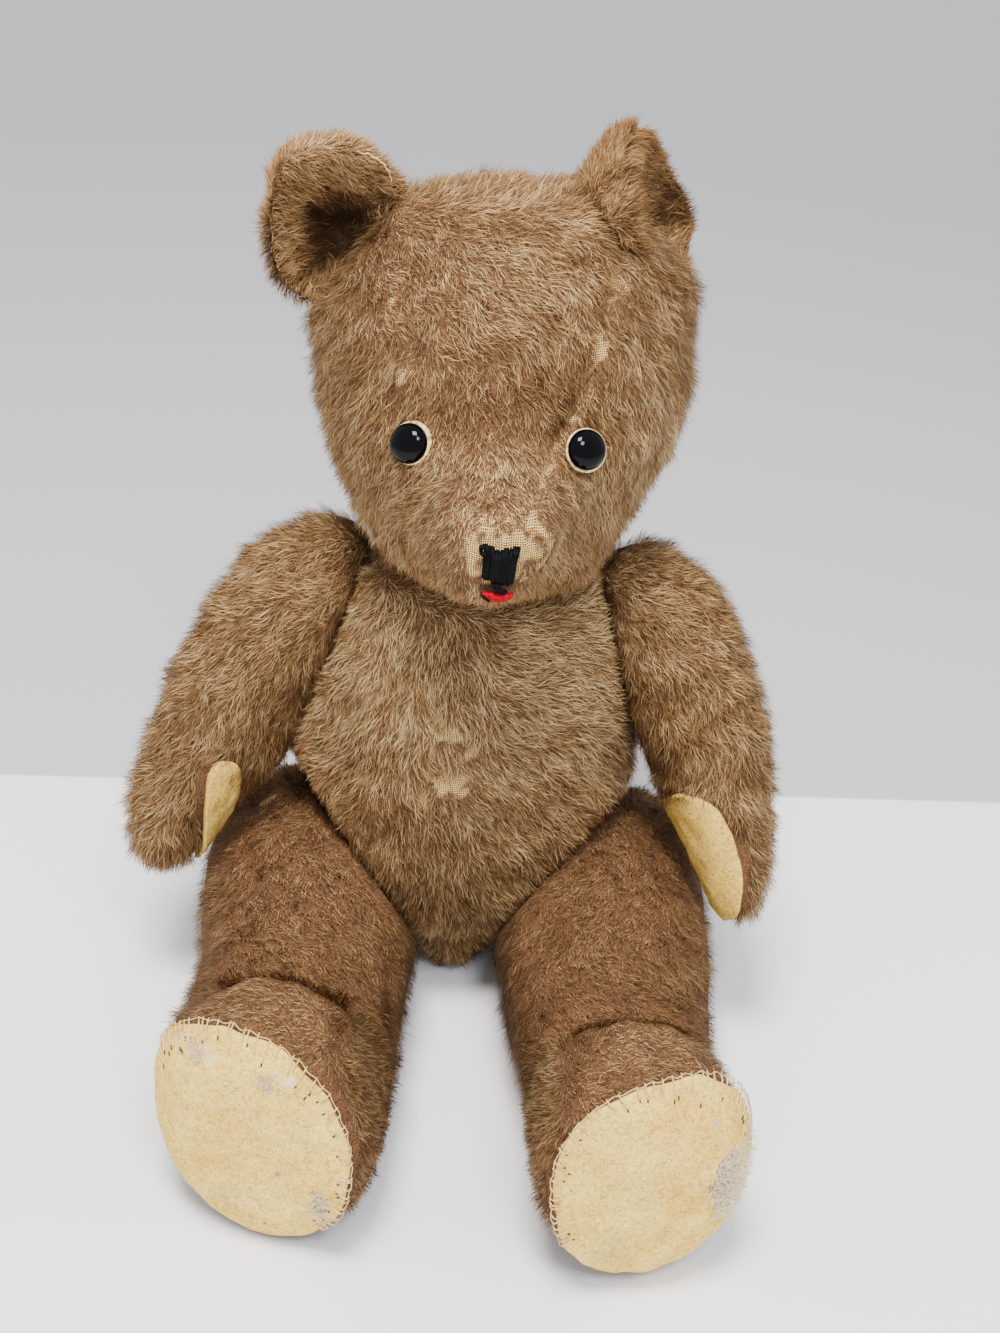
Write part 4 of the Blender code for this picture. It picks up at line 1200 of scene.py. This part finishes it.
# How the pile lies on each body: places in mm and ways.
COMB = {
    "head": [
        (4, -35, 287, 0.9, -0.3, -0.35),
        (-22, -40, 277, 0.6, -0.4, -0.6),
        (26, -42, 273, 0.3, -0.3, -0.9),
        (4, -52, 262, 0.75, -0.3, -0.6),
        (-28, -56, 248, -0.1, -0.2, -1),
        (34, -54, 248, 0.25, -0.1, -1),
        (4, -66, 246, 0.2, -0.6, -0.8),
        (4, -82, 230, 0.05, -0.6, -0.9),
        (-22, -72, 220, -0.4, 0.2, -0.9),
        (30, -72, 220, 0.1, 0.2, -0.9),
        (-45, -45, 215, -0.2, 0.1, -1),
        (53, -45, 215, -0.35, 0.1, -0.9),
        (-64, -15, 235, -0.1, 0.2, -1),
        (72, -15, 235, -0.15, 0.2, -1),
        (0, 5, 305, 0.6, 0.7, 0),
        (4, 50, 270, 0.1, 0.3, -1),
        (4, 60, 230, 0, 0, -1),
        (4, 45, 195, 0, -0.3, -1),
        (4, -70, 188, 0, 0.8, -0.6),
        (-40, -30, 185, 0.1, 0.3, -1),
        (48, -30, 185, -0.1, 0.3, -1),
    ],
    "torso": [
        (-22, -40, 155, 0.1, -0.2, -1),
        (-8, -48, 135, 0.15, -0.2, -1),
        (-40, -35, 130, -0.15, -0.1, -1),
        (-50, -35, 95, -0.75, 0, -0.6),
        (-25, -55, 90, 0.3, -0.1, -0.9),
        (-40, -45, 65, 0.7, -0.3, -0.6),
        (-10, -58, 60, 0.35, 0, -0.95),
        (22, -38, 155, 1, 0.1, -0.1),
        (25, -50, 130, 1, 0, -0.15),
        (40, -45, 105, 0.9, 0, -0.5),
        (15, -58, 95, 0.8, 0, -0.6),
        (40, -45, 75, 0.6, 0, -0.8),
        (15, -60, 60, 0.5, 0, -0.9),
        (-5, -52, 28, 0.1, 0.2, -1),
        (-64, 0, 90, -0.2, 0.1, -1),
        (62, 0, 90, 0.3, 0.1, -1),
        (0, 45, 140, 0.1, 0, -1),
        (0, 52, 80, -0.1, 0, -1),
        (0, 48, 30, 0, 0, -1),
    ],
    "arm_left": [
        (72, -5, 165, 1, -0.2, -0.2),
        (95, -20, 140, 0.9, -0.2, -0.5),
        (80, -30, 125, 0.5, -0.4, -0.8),
        (85, -45, 100, 0, -0.3, -1),
        (110, -45, 90, 0.4, 0.1, -0.9),
        (115, -60, 62, 0.1, -0.3, -0.9),
        (110, -15, 100, 0.5, 0.5, -0.8),
    ],
    "arm_right": [
        (-72, -5, 165, -1, -0.2, -0.2),
        (-95, -20, 140, -0.9, -0.2, -0.5),
        (-80, -30, 125, -0.6, -0.4, -0.7),
        (-85, -45, 100, -0.5, -0.3, -0.9),
        (-110, -45, 90, -0.6, 0.1, -0.8),
        (-115, -60, 62, -0.1, -0.3, -0.9),
        (-110, -15, 100, -0.5, 0.5, -0.8),
    ],
    "leg_left": [
        (60, -20, 72, 0.4, -0.8, -0.2),
        (55, -70, 70, -0.3, -0.8, -0.3),
        (90, -60, 45, -0.2, -0.3, -0.9),
        (92, -110, 40, -0.2, -0.3, -0.9),
        (20, -80, 40, 0.2, -0.5, -0.8),
        (60, -110, 65, 0.6, -0.6, 0.2),
        (60, -145, 78, 0.8, -0.4, 0.3),
        (92, -150, 45, 0.2, -0.2, -0.9),
        (30, -150, 45, -0.2, 0.2, -0.9),
        (60, -160, 3, 0, 1, 0),
        (60, 20, 50, 0, 0.3, -1),
    ],
    "leg_right": [
        (-65, -20, 72, -0.5, -0.8, -0.2),
        (-60, -70, 70, 0.3, -0.8, -0.3),
        (-90, -60, 45, -0.1, -0.3, -0.9),
        (-88, -110, 40, 0.1, -0.3, -0.9),
        (-20, -80, 40, -0.1, -0.5, -0.8),
        (-50, -105, 65, 0.5, -0.6, 0.2),
        (-52, -138, 78, -0.8, -0.4, 0.3),
        (-86, -145, 45, -0.2, -0.2, -0.9),
        (-22, -145, 45, 0.2, 0.2, -0.9),
        (-52, -155, 3, 0, 1, 0),
        (-65, 20, 50, 0, 0.3, -1),
    ],
}

# Blades sown, length in mm, lean in degrees, tone, and how the tone is spread from
# blade to blade and from tuft to tuft. Then the share of the blades that are bent, the
# least and most that a blade is of that length, and its width in mm, drawn about four
# hairs wide so that it shows.
PILE = {
    "head": (139000, 5.6, 52, 0.53, 0.16, 0.06),
    "torso": (152000, 6.2, 56, 0.54, 0.22, 0.08),
    "arm_left": (62000, 6.4, 48, 0.5, 0.18, 0.08),
    "arm_right": (62000, 6.4, 48, 0.52, 0.18, 0.08),
    "leg_left": (92000, 4.9, 46, 0.395, 0.26, 0.1),
    "leg_right": (92000, 4.9, 46, 0.41, 0.26, 0.1),
}
BENT_SHARE, BLADE_SPREAD, BLADE_WIDE = 0.42, (0.65, 1.15), (0.17, 0.28)
# How far the pile may lap over a joint in mm, over what distance round the pressed
# place it begins to, how hard it is pushed that way, and how deep the push goes.
BODY_LAP, LIMB_LAP, LAP_FADE = 5.0, 2.0, 12 * MM
BODY_PUSH, LIMB_PUSH, PUSH_DEPTH = 2.6, 0.8, 4 * MM
TIPS_UP = 0.2 * MM  # the least height of a tip over the floor


def keep_clear(body):
    """A rule that keeps blades on the body's own side of a joint where it is pressed,
    lets them lap over round it, the torso's most, and keeps them up off the floor."""
    planes = joint_planes(body)

    def kept(spots):
        for plane in planes:
            out, flat, _ = past(spots, plane)
            lap = BODY_LAP if body == "torso" else LIMB_LAP
            allowed = (lap * np.clip((flat - plane[2]) / LAP_FADE, 0, 1) + 0.1) * MM
            spots = spots - np.maximum(out - allowed, 0)[:, None] * plane[1]
        spots[:, 2] = np.maximum(spots[:, 2], TIPS_UP)
        return spots

    return kept


def over_joints(points, body):
    """The pile's push out over each joint's gap, falling as e to the depth below it."""
    push = np.zeros_like(points)
    much = BODY_PUSH if body == "torso" else LIMB_PUSH
    for plane in joint_planes(body):
        depth = np.minimum(past(points, plane)[0], 0) / PUSH_DEPTH
        push += much * np.exp(depth)[:, None] * plane[1]
    return push


ANY = np.inf  # a way that a bell doesn't count


def zone_tone_and_shade(points, body):
    """How much lighter or darker the pile is in places: bells, and humps along seams; some of it is
    the pile's own tone and some is painted light and shade.
    """
    x, y, z = (points / MM).T
    if body == "head":
        fore = bell(points, (2, 0, 280), (30, ANY, 24)) * (y < 0)
        muzzle = bell(points, (4, 0, 225), (22, ANY, 14)) * (y < -50)
        bridge = bell(points, (3, 0, 251), (28, ANY, 11)) * (y < -40)
        cheek = bell(points, (52, 0, 238), (20, ANY, 26)) * (y < 0)
        seam = from_line(points, SEAMS[0])
        # The parting is paler, with bands of painted shadow about 5 mm to each side of it.
        parting_and_shadow = 0.3 * hump(seam, 2.2) - 0.12 * hump(seam - 5 * MM, 2)
        patches = 0.07 * fore + 0.25 * muzzle - 0.2 * bridge + 0.13 * cheek - 0.04 * (y > 10)
        # Painted shade in the fold beside the left eye.
        return patches + parting_and_shadow * (y < 10) - 0.5 * hump(from_line(points, CREASE), 2.2)
    if body.startswith("leg"):
        instep = bell(points, (0, -152, 0), (ANY, 20, ANY)) * (z > 44)
        # Painted shade in the crease behind the instep.
        crease_shade = bell(points, (0, -116, 0), (ANY, 11, ANY)) * (z > 44)
        return (0.23 if body == "leg_left" else 0.16) * instep - 0.12 * crease_shade
    if body == "torso":
        # Painted shade on the side under the right arm; painted light and shade: lighter towards
        # the chest, darker towards the seat.
        side = bell(points, (-40, 0, 80), (20, ANY, 34))
        chest_light, seat_shade = np.clip((z - 90) / 30, 0, 1), np.clip((60 - z) / 50, 0, 1)
        return 0.12 * chest_light - 0.06 * seat_shade - 0.1 * side
    # Painted shade: the arm darker near its joint to the torso, below the shoulder.
    inner = np.exp(-((room(points, body) / (13 * MM)) ** 2)) * np.clip((155 - z) / 25, 0, 1)
    return 0.02 * (z < 100) - 0.15 * inner


def zone_length(points, body):
    """The pile's length as a share: handled places and seams are shorter, by bells and
    humps."""
    y = points[:, 1] / MM
    if body == "head":
        muzzle = bell(points, (4, 0, 212), (26, ANY, 22)) * (y < -50)
        seam = hump(from_line(points, SEAMS[0]), 2.8) * (y < 10)
        return 1 - 0.5 * muzzle - 0.5 * seam - 0.3 * hump(from_line(points, CREASE), 2.4)
    if body.startswith("leg"):
        return 1 - 0.3 * bell(points, (0, -156, 0), (ANY, 20, ANY))
    return np.ones(len(points))


for number, (body, (count, long, lean, tone, spread, clump)) in enumerate(PILE.items()):
    chance = np.random.default_rng(100 + number)
    points, normals = sow(bags[body].data, count, chance)
    bare = bareness(points, body)
    kept = ~no_pile(points, normals, body) & (chance.random(count) > bare * 0.93)
    points, normals, bare = points[kept], normals[kept], bare[kept]
    count = len(points)
    bent = chance.random(count) < BENT_SHARE
    length = long * MM * zone_length(points, body) * chance.uniform(*BLADE_SPREAD, count)
    length *= np.where(bent, 1.15, 0.75) * (1 - 0.78 * bare)
    pressed = np.clip(room(points, body) / (6 * MM), 0, 1)
    length *= 0.8 + 0.2 * pressed if body == "torso" else 0.6 + 0.4 * pressed
    zone = tone + zone_tone_and_shade(points, body)
    tones = zone + 0.055 * swell(points, 14, 31) + clump * swell(points, 2.8, 32)
    tones += spread * chance.normal(size=count) + 0.12 * bare
    if body.startswith("leg"):
        tones = np.minimum(tones, zone + 0.24)
    pile = blades(
        f"{body}_pile",
        mohair,
        (points, normals),
        combed(points, COMB[body]) + over_joints(points, body),
        length,
        chance.uniform(*BLADE_WIDE, count) * MM,
        lean + 20 * (1 - pressed),
        tones,
        bent,
        keep_clear(body),
        chance,
    )
    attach(pile, body)

# --- Ears ----------------------------------------------------------------------
# Each ear is two pieces of plush sewn round and turned, cupped and sewn to the head.
# The right one stands open, with painted shade in its hollow, and its rim is worn pale at the top.
EAR_VOXEL, EAR_CLOTH_DEPTH = 2.2 * MM, 1.4 * MM
EAR_BLADES, EAR_PILE, EAR_LEAN = 27000, 6.6 * MM, 40.0
# The painted shade in each hollow: its middles, their reach in mm and how dark they are painted.
EAR_HOLLOW_SHADE = {
    "left": [((51, 20, 294), 8, 0.2), ((44, 2, 297), 9, 0.1)],
    "right": [((-60, 6, 286), 13, 0.6), ((-65, 5, 274), 8, 0.45)],
}
# The way each ear opens, its tone, and the right one's hollow: middle and half sizes.
EAR_OPENS = {"left": (0.90, -0.40, 0.18), "right": (0.28, -0.93, -0.22)}
EAR_TONE = {"left": -0.2, "right": -0.05}
HOLLOW = (-59, 283), (12, 15)

for number, side in enumerate(("left", "right")):
    ear = remeshed(f"ear_{side}_cloth", [f"ear_{side}"], EAR_VOXEL)
    points, normals = corners_of(ear.data)
    low, high = (np.array(corner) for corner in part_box(f"ear_{side}"))
    middle, opens = (low + high) / 2, unit(np.array(EAR_OPENS[side]))
    points = shifted(points, f"ear_{side}")
    level = points @ opens
    below = np.maximum(np.quantile(level, 0.93) - level, 0) * np.clip(normals @ opens * 3, 0, 1)
    across = (points[:, [0, 2]] / MM - HOLLOW[0]) / HOLLOW[1]
    hollow = np.exp(-((across**2).sum(axis=1) ** 1.5))
    filled = 0.3 if side == "left" else 0.85 * (1 - hollow)
    points = points + (below * filled)[:, None] * opens
    move_corners(ear.data, points - normals * EAR_CLOTH_DEPTH)
    ear.data.attributes.new("worn", "FLOAT", "POINT")  # nothing is worn through
    ear.data.materials.clear()
    ear.data.materials.append(backing)
    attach(ear, "head")
    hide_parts(f"ear_{side}")

    chance = np.random.default_rng(200 + number)
    count = EAR_BLADES
    points, normals = sow(ear.data, count, chance)
    # Painted shade: the pile darker towards the middle of each ear's hollow.
    inside = np.zeros(count)
    for shade_at, reach, shaded in EAR_HOLLOW_SHADE[side]:
        near = hump(np.linalg.norm(points - np.array(shade_at) * MM, axis=1), reach)
        inside = np.maximum(inside, shaded * np.clip(near * 1.6, 0, 1) * (normals @ opens > 0))
    lie = unit(points - middle) * (1.0 - 1.4 * (normals @ opens > 0.3))[:, None]
    lie += np.array([0.5, 0, 0.25])
    # It stands up and forward, and is shorter on the back.
    back = np.clip(1.5 * normals[:, 1], 0, 1)
    normals = normals + np.array([0, -0.8, 0.5]) + 0.56 * back[:, None] * np.array([0, 1, 0])
    normals = unit(normals)
    tones = 0.53 + EAR_TONE[side] - inside + 0.06 * swell(points, 9, 33)
    tones += 0.17 * chance.normal(size=count)
    bent = chance.random(count) < BENT_SHARE
    length = EAR_PILE * chance.uniform(0.6, 1.15, count) * (1 - 0.45 * back)
    ear_pile = blades(
        f"ear_{side}_pile",
        mohair,
        (points, normals),
        lie,
        length,
        chance.uniform(0.22, 0.34, count) * MM,
        np.full(count, EAR_LEAN),
        tones,
        bent,
        keep_clear("head"),
        chance,
    )
    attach(ear_pile, "head")

# The right ear's edge is worn to the backing, a pale line at its upper inner corner.
worn_edge = [(-50.5, -9.5, 311.5), (-46, -9.2, 311), (-42, -8.5, 308.6)]
worn_edge += [(-39.8, -7, 305.6), (-38.9, -5.5, 302)]
t = np.linspace(0, len(worn_edge) - 1, 61)
line = [np.interp(t, np.arange(len(worn_edge)), axis) for axis in zip(*worn_edge)]
line = np.stack(line, axis=1)
line[:, 2] += 0.25 * np.sin(t * 9)
radius = (0.26 + 0.09 * np.sin(17 * t)) * MM * np.sin(np.linspace(0.3, 2.9, 61)) ** 0.5
edge = threads("ear_right_worn_edge", line[None] * MM, radius, np.array([0, -1.0, 0]), cotton)
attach(edge, "head")

# --- Eyes ----------------------------------------------------------------------
# A black glass dome on a cream painted back, on a wire shank pulled into the head.
EYE_ROUND = 48

# Black glass: smooth, with a hard gloss that age has dulled, so its IOR is low.
glass, tree, shader = new_material("black_glass")
set_inputs(shader, {"Base Color": linear("030305"), "Roughness": 0.04, "IOR": 1.22})

# Enamel paint on the glass's back: cream, chipped a little.
chips = [(0.34, "9C7A48"), (0.5, "E3C88F"), (0.7, "F0DCAA")]
enamel = flecked("cream_enamel", 1.43, 3, chips, {"Roughness": 0.35})


def turned_piece(name, line, at, facing, finish):
    """A profile of (radius, height) in mm carried round an axis."""
    radius, height = np.array(line, float).T
    a = np.linspace(0, 2 * math.pi, EYE_ROUND, endpoint=False)
    across = unit(np.cross([0, 0, 1.0], facing))
    ring = np.cos(a)[:, None] * across + np.sin(a)[:, None] * np.cross(facing, across)
    points = at + (radius[:, None, None] * ring[None] + height[:, None, None] * facing) * MM
    return closed(name, points, round_faces(len(line), EYE_ROUND).tolist(), finish)


# How far each eye has sagged, in mm, and its dome sits off the middle of its back.
EYE_SAG = {"left": (-1.2, 0, 0), "right": (-0.8, -0.6, -2.0)}
EYE_SHIFT = {"left": (-0.15, 0.2), "right": (-0.6, -0.4)}
for side, (middle, facing, _) in EYES.items():
    middle = middle + np.array(EYE_SAG[side]) * MM
    across = unit(np.cross([0, 0, 1.0], facing))
    upward = np.cross(facing, across)
    dome_at = middle + (across * EYE_SHIFT[side][0] + upward * EYE_SHIFT[side][1]) * MM
    a = np.linspace(math.pi / 2, 0, 20)
    dome = [(6.5 * math.cos(t), 0.9 + 3.9 * math.sin(t)) for t in a] + [(6.2, 0.5), (0.0, 0.5)]
    eye = turned_piece(f"eye_{side}_glass", dome, dome_at, facing, glass)
    rim = [(0, -0.6), (6.4, -0.6), (7.0, -0.2), (7.05, 0.35), (6.8, 0.75), (6.3, 0.85), (0, 0.85)]
    back = turned_piece(f"eye_{side}_rim", rim, middle, facing, enamel)
    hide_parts(f"eye_{side}")
    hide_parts(f"eye_back_{side}")
    for piece, slot in ((eye, "black_glass"), (back, "eye_cream_back")):
        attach(piece, "head")

# --- Nose and mouth --------------------------------------------------------------
# The nose is black cotton floss in upright satin stitches, its knot left showing at
# its upper corner on the bear's right; one stitch runs down to a scrap of red felt.


def on_muzzle(x, z, proud):
    """Points on the muzzle straight in front of x and z in mm, lifted forward; where x
    and z miss it, at its tip's depth."""
    x, z = np.broadcast_arrays(x, z)
    ahead, tip = 200.0, -96.0
    start = np.stack([x, np.full(x.shape, -ahead), z], axis=-1).reshape(-1, 3) * MM
    fall = drop(start, np.array([0, 1.0, 0]), ["head_cover"]).reshape(x.shape) / MM
    fall = np.where(np.isfinite(fall), fall, ahead + tip)
    return np.stack([x, fall - ahead - proud, z], axis=-1) * MM


# Cotton floss: black, faint sheen along its plies.
plies = [(0.35, "020203"), (0.7, "0C0D10")]
floss_look = {"Roughness": 0.6, "Specular IOR Level": 0.07}
floss = flecked("black_cotton_floss", 0.556, 3, plies, floss_look)

chance = np.random.default_rng(7)
FLOSS, FLOSS_R = 12, 0.78 * MM
column = np.linspace(-1, 1, FLOSS)[:, None]
along = np.linspace(0, 1, 10)[None]
top = 215.6 + 0.5 * chance.normal(size=(FLOSS, 1)) - 0.9 * (abs(column) < 0.5)
bottom = 204.4 + 0.25 * chance.normal(size=(FLOSS, 1)) - 0.8 * column + 0.5 * abs(column)
x = NOSE_AT[0] + 0.5 + column * (4.7 - 0.5 * along)
x = x - 0.9 * along + 0.12 * np.sin(along * 5 + column * 9)
z = top + (bottom - top) * along
swelling = np.clip(np.sin(math.pi * along) * 2.2, 0, 1)
proud = -0.9 + (2.2 + 0.25 * chance.normal(size=(FLOSS, 1))) * swelling
lines = on_muzzle(x, z, proud)
forward = np.array([0, -1.0, 0.05])
nose = threads("nose_satin_stitches", lines, FLOSS_R, forward, floss, sides=8)
t = np.linspace(0, 1, 28)
knot = [1.2 * np.cos(9 * t) * (1 - 0.3 * t) - 4.9 + NOSE_AT[0]]
knot += [-98.3 - 0.9 * np.sin(13 * t + 1), 215.6 + 1.1 * np.sin(9 * t) + 0.4 * t]
knot = np.stack(knot, axis=-1)[None] * MM
knot = threads("nose_knot", knot, 0.72 * MM, np.array([0.1, 0.2, 1.0]), floss)
t = np.linspace(0, 1, 8)
horn = [NOSE_AT[0] + 4.2 + 1.5 * t, -98 + 0.4 * t, 214.6 + 2.2 * t - 1.2 * t * t]
horn = np.stack(horn, axis=-1)[None] * MM
horn = threads("nose_loose_end", horn, 0.55 * MM * (1.1 - 0.6 * t), forward, floss)
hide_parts("nose_stitching")

t = np.linspace(0, 1, 12)[None]
lift = -1.0 + 2.3 * np.clip(np.sin(math.pi * t) * 2, 0, 1)
lines = on_muzzle(NOSE_AT[0] + np.array([[-1.6], [-0.7]]) + 3.2 * t, 204.4 - 3.6 * t, lift)
drop_stitch = threads("nose_drop_stitch_floss", lines, 0.75 * MM, forward, floss)
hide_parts("nose_drop_stitch")
lines = on_muzzle(NOSE_AT[0] - 4.6 + 2.6 * t, 199.3 - 1.9 * t, lift - 0.4)
corner = threads("mouth_corner_stitch", lines, 0.5 * MM, forward, floss)

# Wool felt dyed bright red, its cut edge a little furry.
fibres = [(0.3, "78000E"), (0.65, "B8081E")]
red_look = {"Roughness": 0.95, "Specular IOR Level": 0.1}
red = flecked("red_wool_felt", 0.909, 4, fibres, red_look, bump=0.5)

# The scrap: rings of a lens, flatter above than below, a dome in front, a flat back.
rings, spokes = 8, 40
r = np.concatenate([np.linspace(0, 1, rings), np.linspace(1, 0, 4)])[:, None]
a = np.linspace(0, 2 * math.pi, spokes, endpoint=False)[None]
tall = np.where(np.sin(a) > 0, 1.0, 3.2) * abs(np.sin(a)) ** 0.25
x = NOSE_AT[0] + 0.3 + 4.9 * r * np.cos(a)
z = 199.9 + tall * r * np.sin(a)
front = np.arange(len(r))[:, None] < rings
proud = np.where(front, 0.2 + 1.1 * np.sqrt(np.clip(1 - r**2, 0, 1)), -0.9) + 0 * a
faces = round_faces(len(r), spokes).tolist()
mouth = closed("mouth_red_felt", on_muzzle(x, z, proud), faces, red)
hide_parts("mouth_felt")
for piece in (nose, knot, horn, drop_stitch, corner, mouth):
    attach(piece, "head")

# --- Worn soles --------------------------------------------------------------------
# Wadding bulges through where each sole has worn, and loose wool stands on the felt.

# Wadding teased into fibres: off-white gone yellow, matt, as pale at the root.
teased = [(0.0, "C9B48A"), (0.6, "DDCCA6"), (1.0, "EBE0C8")]
fluff = combed_fibre("teased_wadding", teased, [(0, "FFFFFF"), (1, "FFFFFF")], {"Roughness": 1.0})

# Where loose fibre lies on each sole: middle and half sizes across and up in mm, how
# many fibres, and whether it is wadding or wool.
LOOSE = {
    "foot_left": [
        (21, 3, 5, 13, 1500, "wadding"),
        (29, -2, 5, 20, 1300, "wadding"),
        (0, 0, 31, 39, 2600, "wool"),
    ],
    "foot_right": [
        (24, -15, 2.2, 7, 500, "wadding"),
        (-15, 31, 4, 3, 260, "wadding"),
        (9, 29, 3, 3, 160, "wadding"),
        (0, 0, 33, 41, 2600, "wool"),
    ],
}
# Each kind's finish and slot, a fibre's length and width in mm, how deep it starts, and
# how pale it is.
FIBRES = {
    "wadding": (fluff, "wadding", 3.4, 0.3, -0.5, 0.6),
    "wool": (mohair, "cream_felt", 1.5, 0.12, 0.0, 0.9),
}
for number, (pad, patches) in enumerate(LOOSE.items()):
    side = pad.split("_")[1]
    for kind, (finish, slot, long, wide, sunk, pale) in FIBRES.items():
        chance = np.random.default_rng(400 + number)
        parts = []
        for x, y, half_w, half_h, count, what in patches:
            if what == kind:
                share, turn = np.sqrt(chance.random(count)), chance.uniform(0, 2 * math.pi, count)
                parts.append((x + half_w * share * np.cos(turn), y + half_h * share * np.sin(turn)))
        x, y = (np.concatenate(axis) for axis in zip(*parts))
        half_w, half_h = PADS[pad][4]
        fits = np.hypot(x / half_w, y / half_h) < FELT_CUT[pad][0]
        x, y = x[fits], y[fits]
        count = len(x)
        points = out_of_pad(x, y, faces_of[pad](x, y) + sunk, pad)
        piece = blades(
            f"sole_{kind}_{side}",
            finish,
            (points, np.tile(np.array(PADS[pad][3], float), (count, 1))),
            chance.normal(size=(count, 3)),
            long * MM * chance.uniform(0.5, 1.3, count),
            np.full(count, wide * MM),
            np.full(count, 66.0),
            pale + 0.2 * chance.normal(size=count),
            np.full(count, kind == "wadding"),
            lambda spots: spots,
            chance,
        )
        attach(piece, f"leg_{side}")
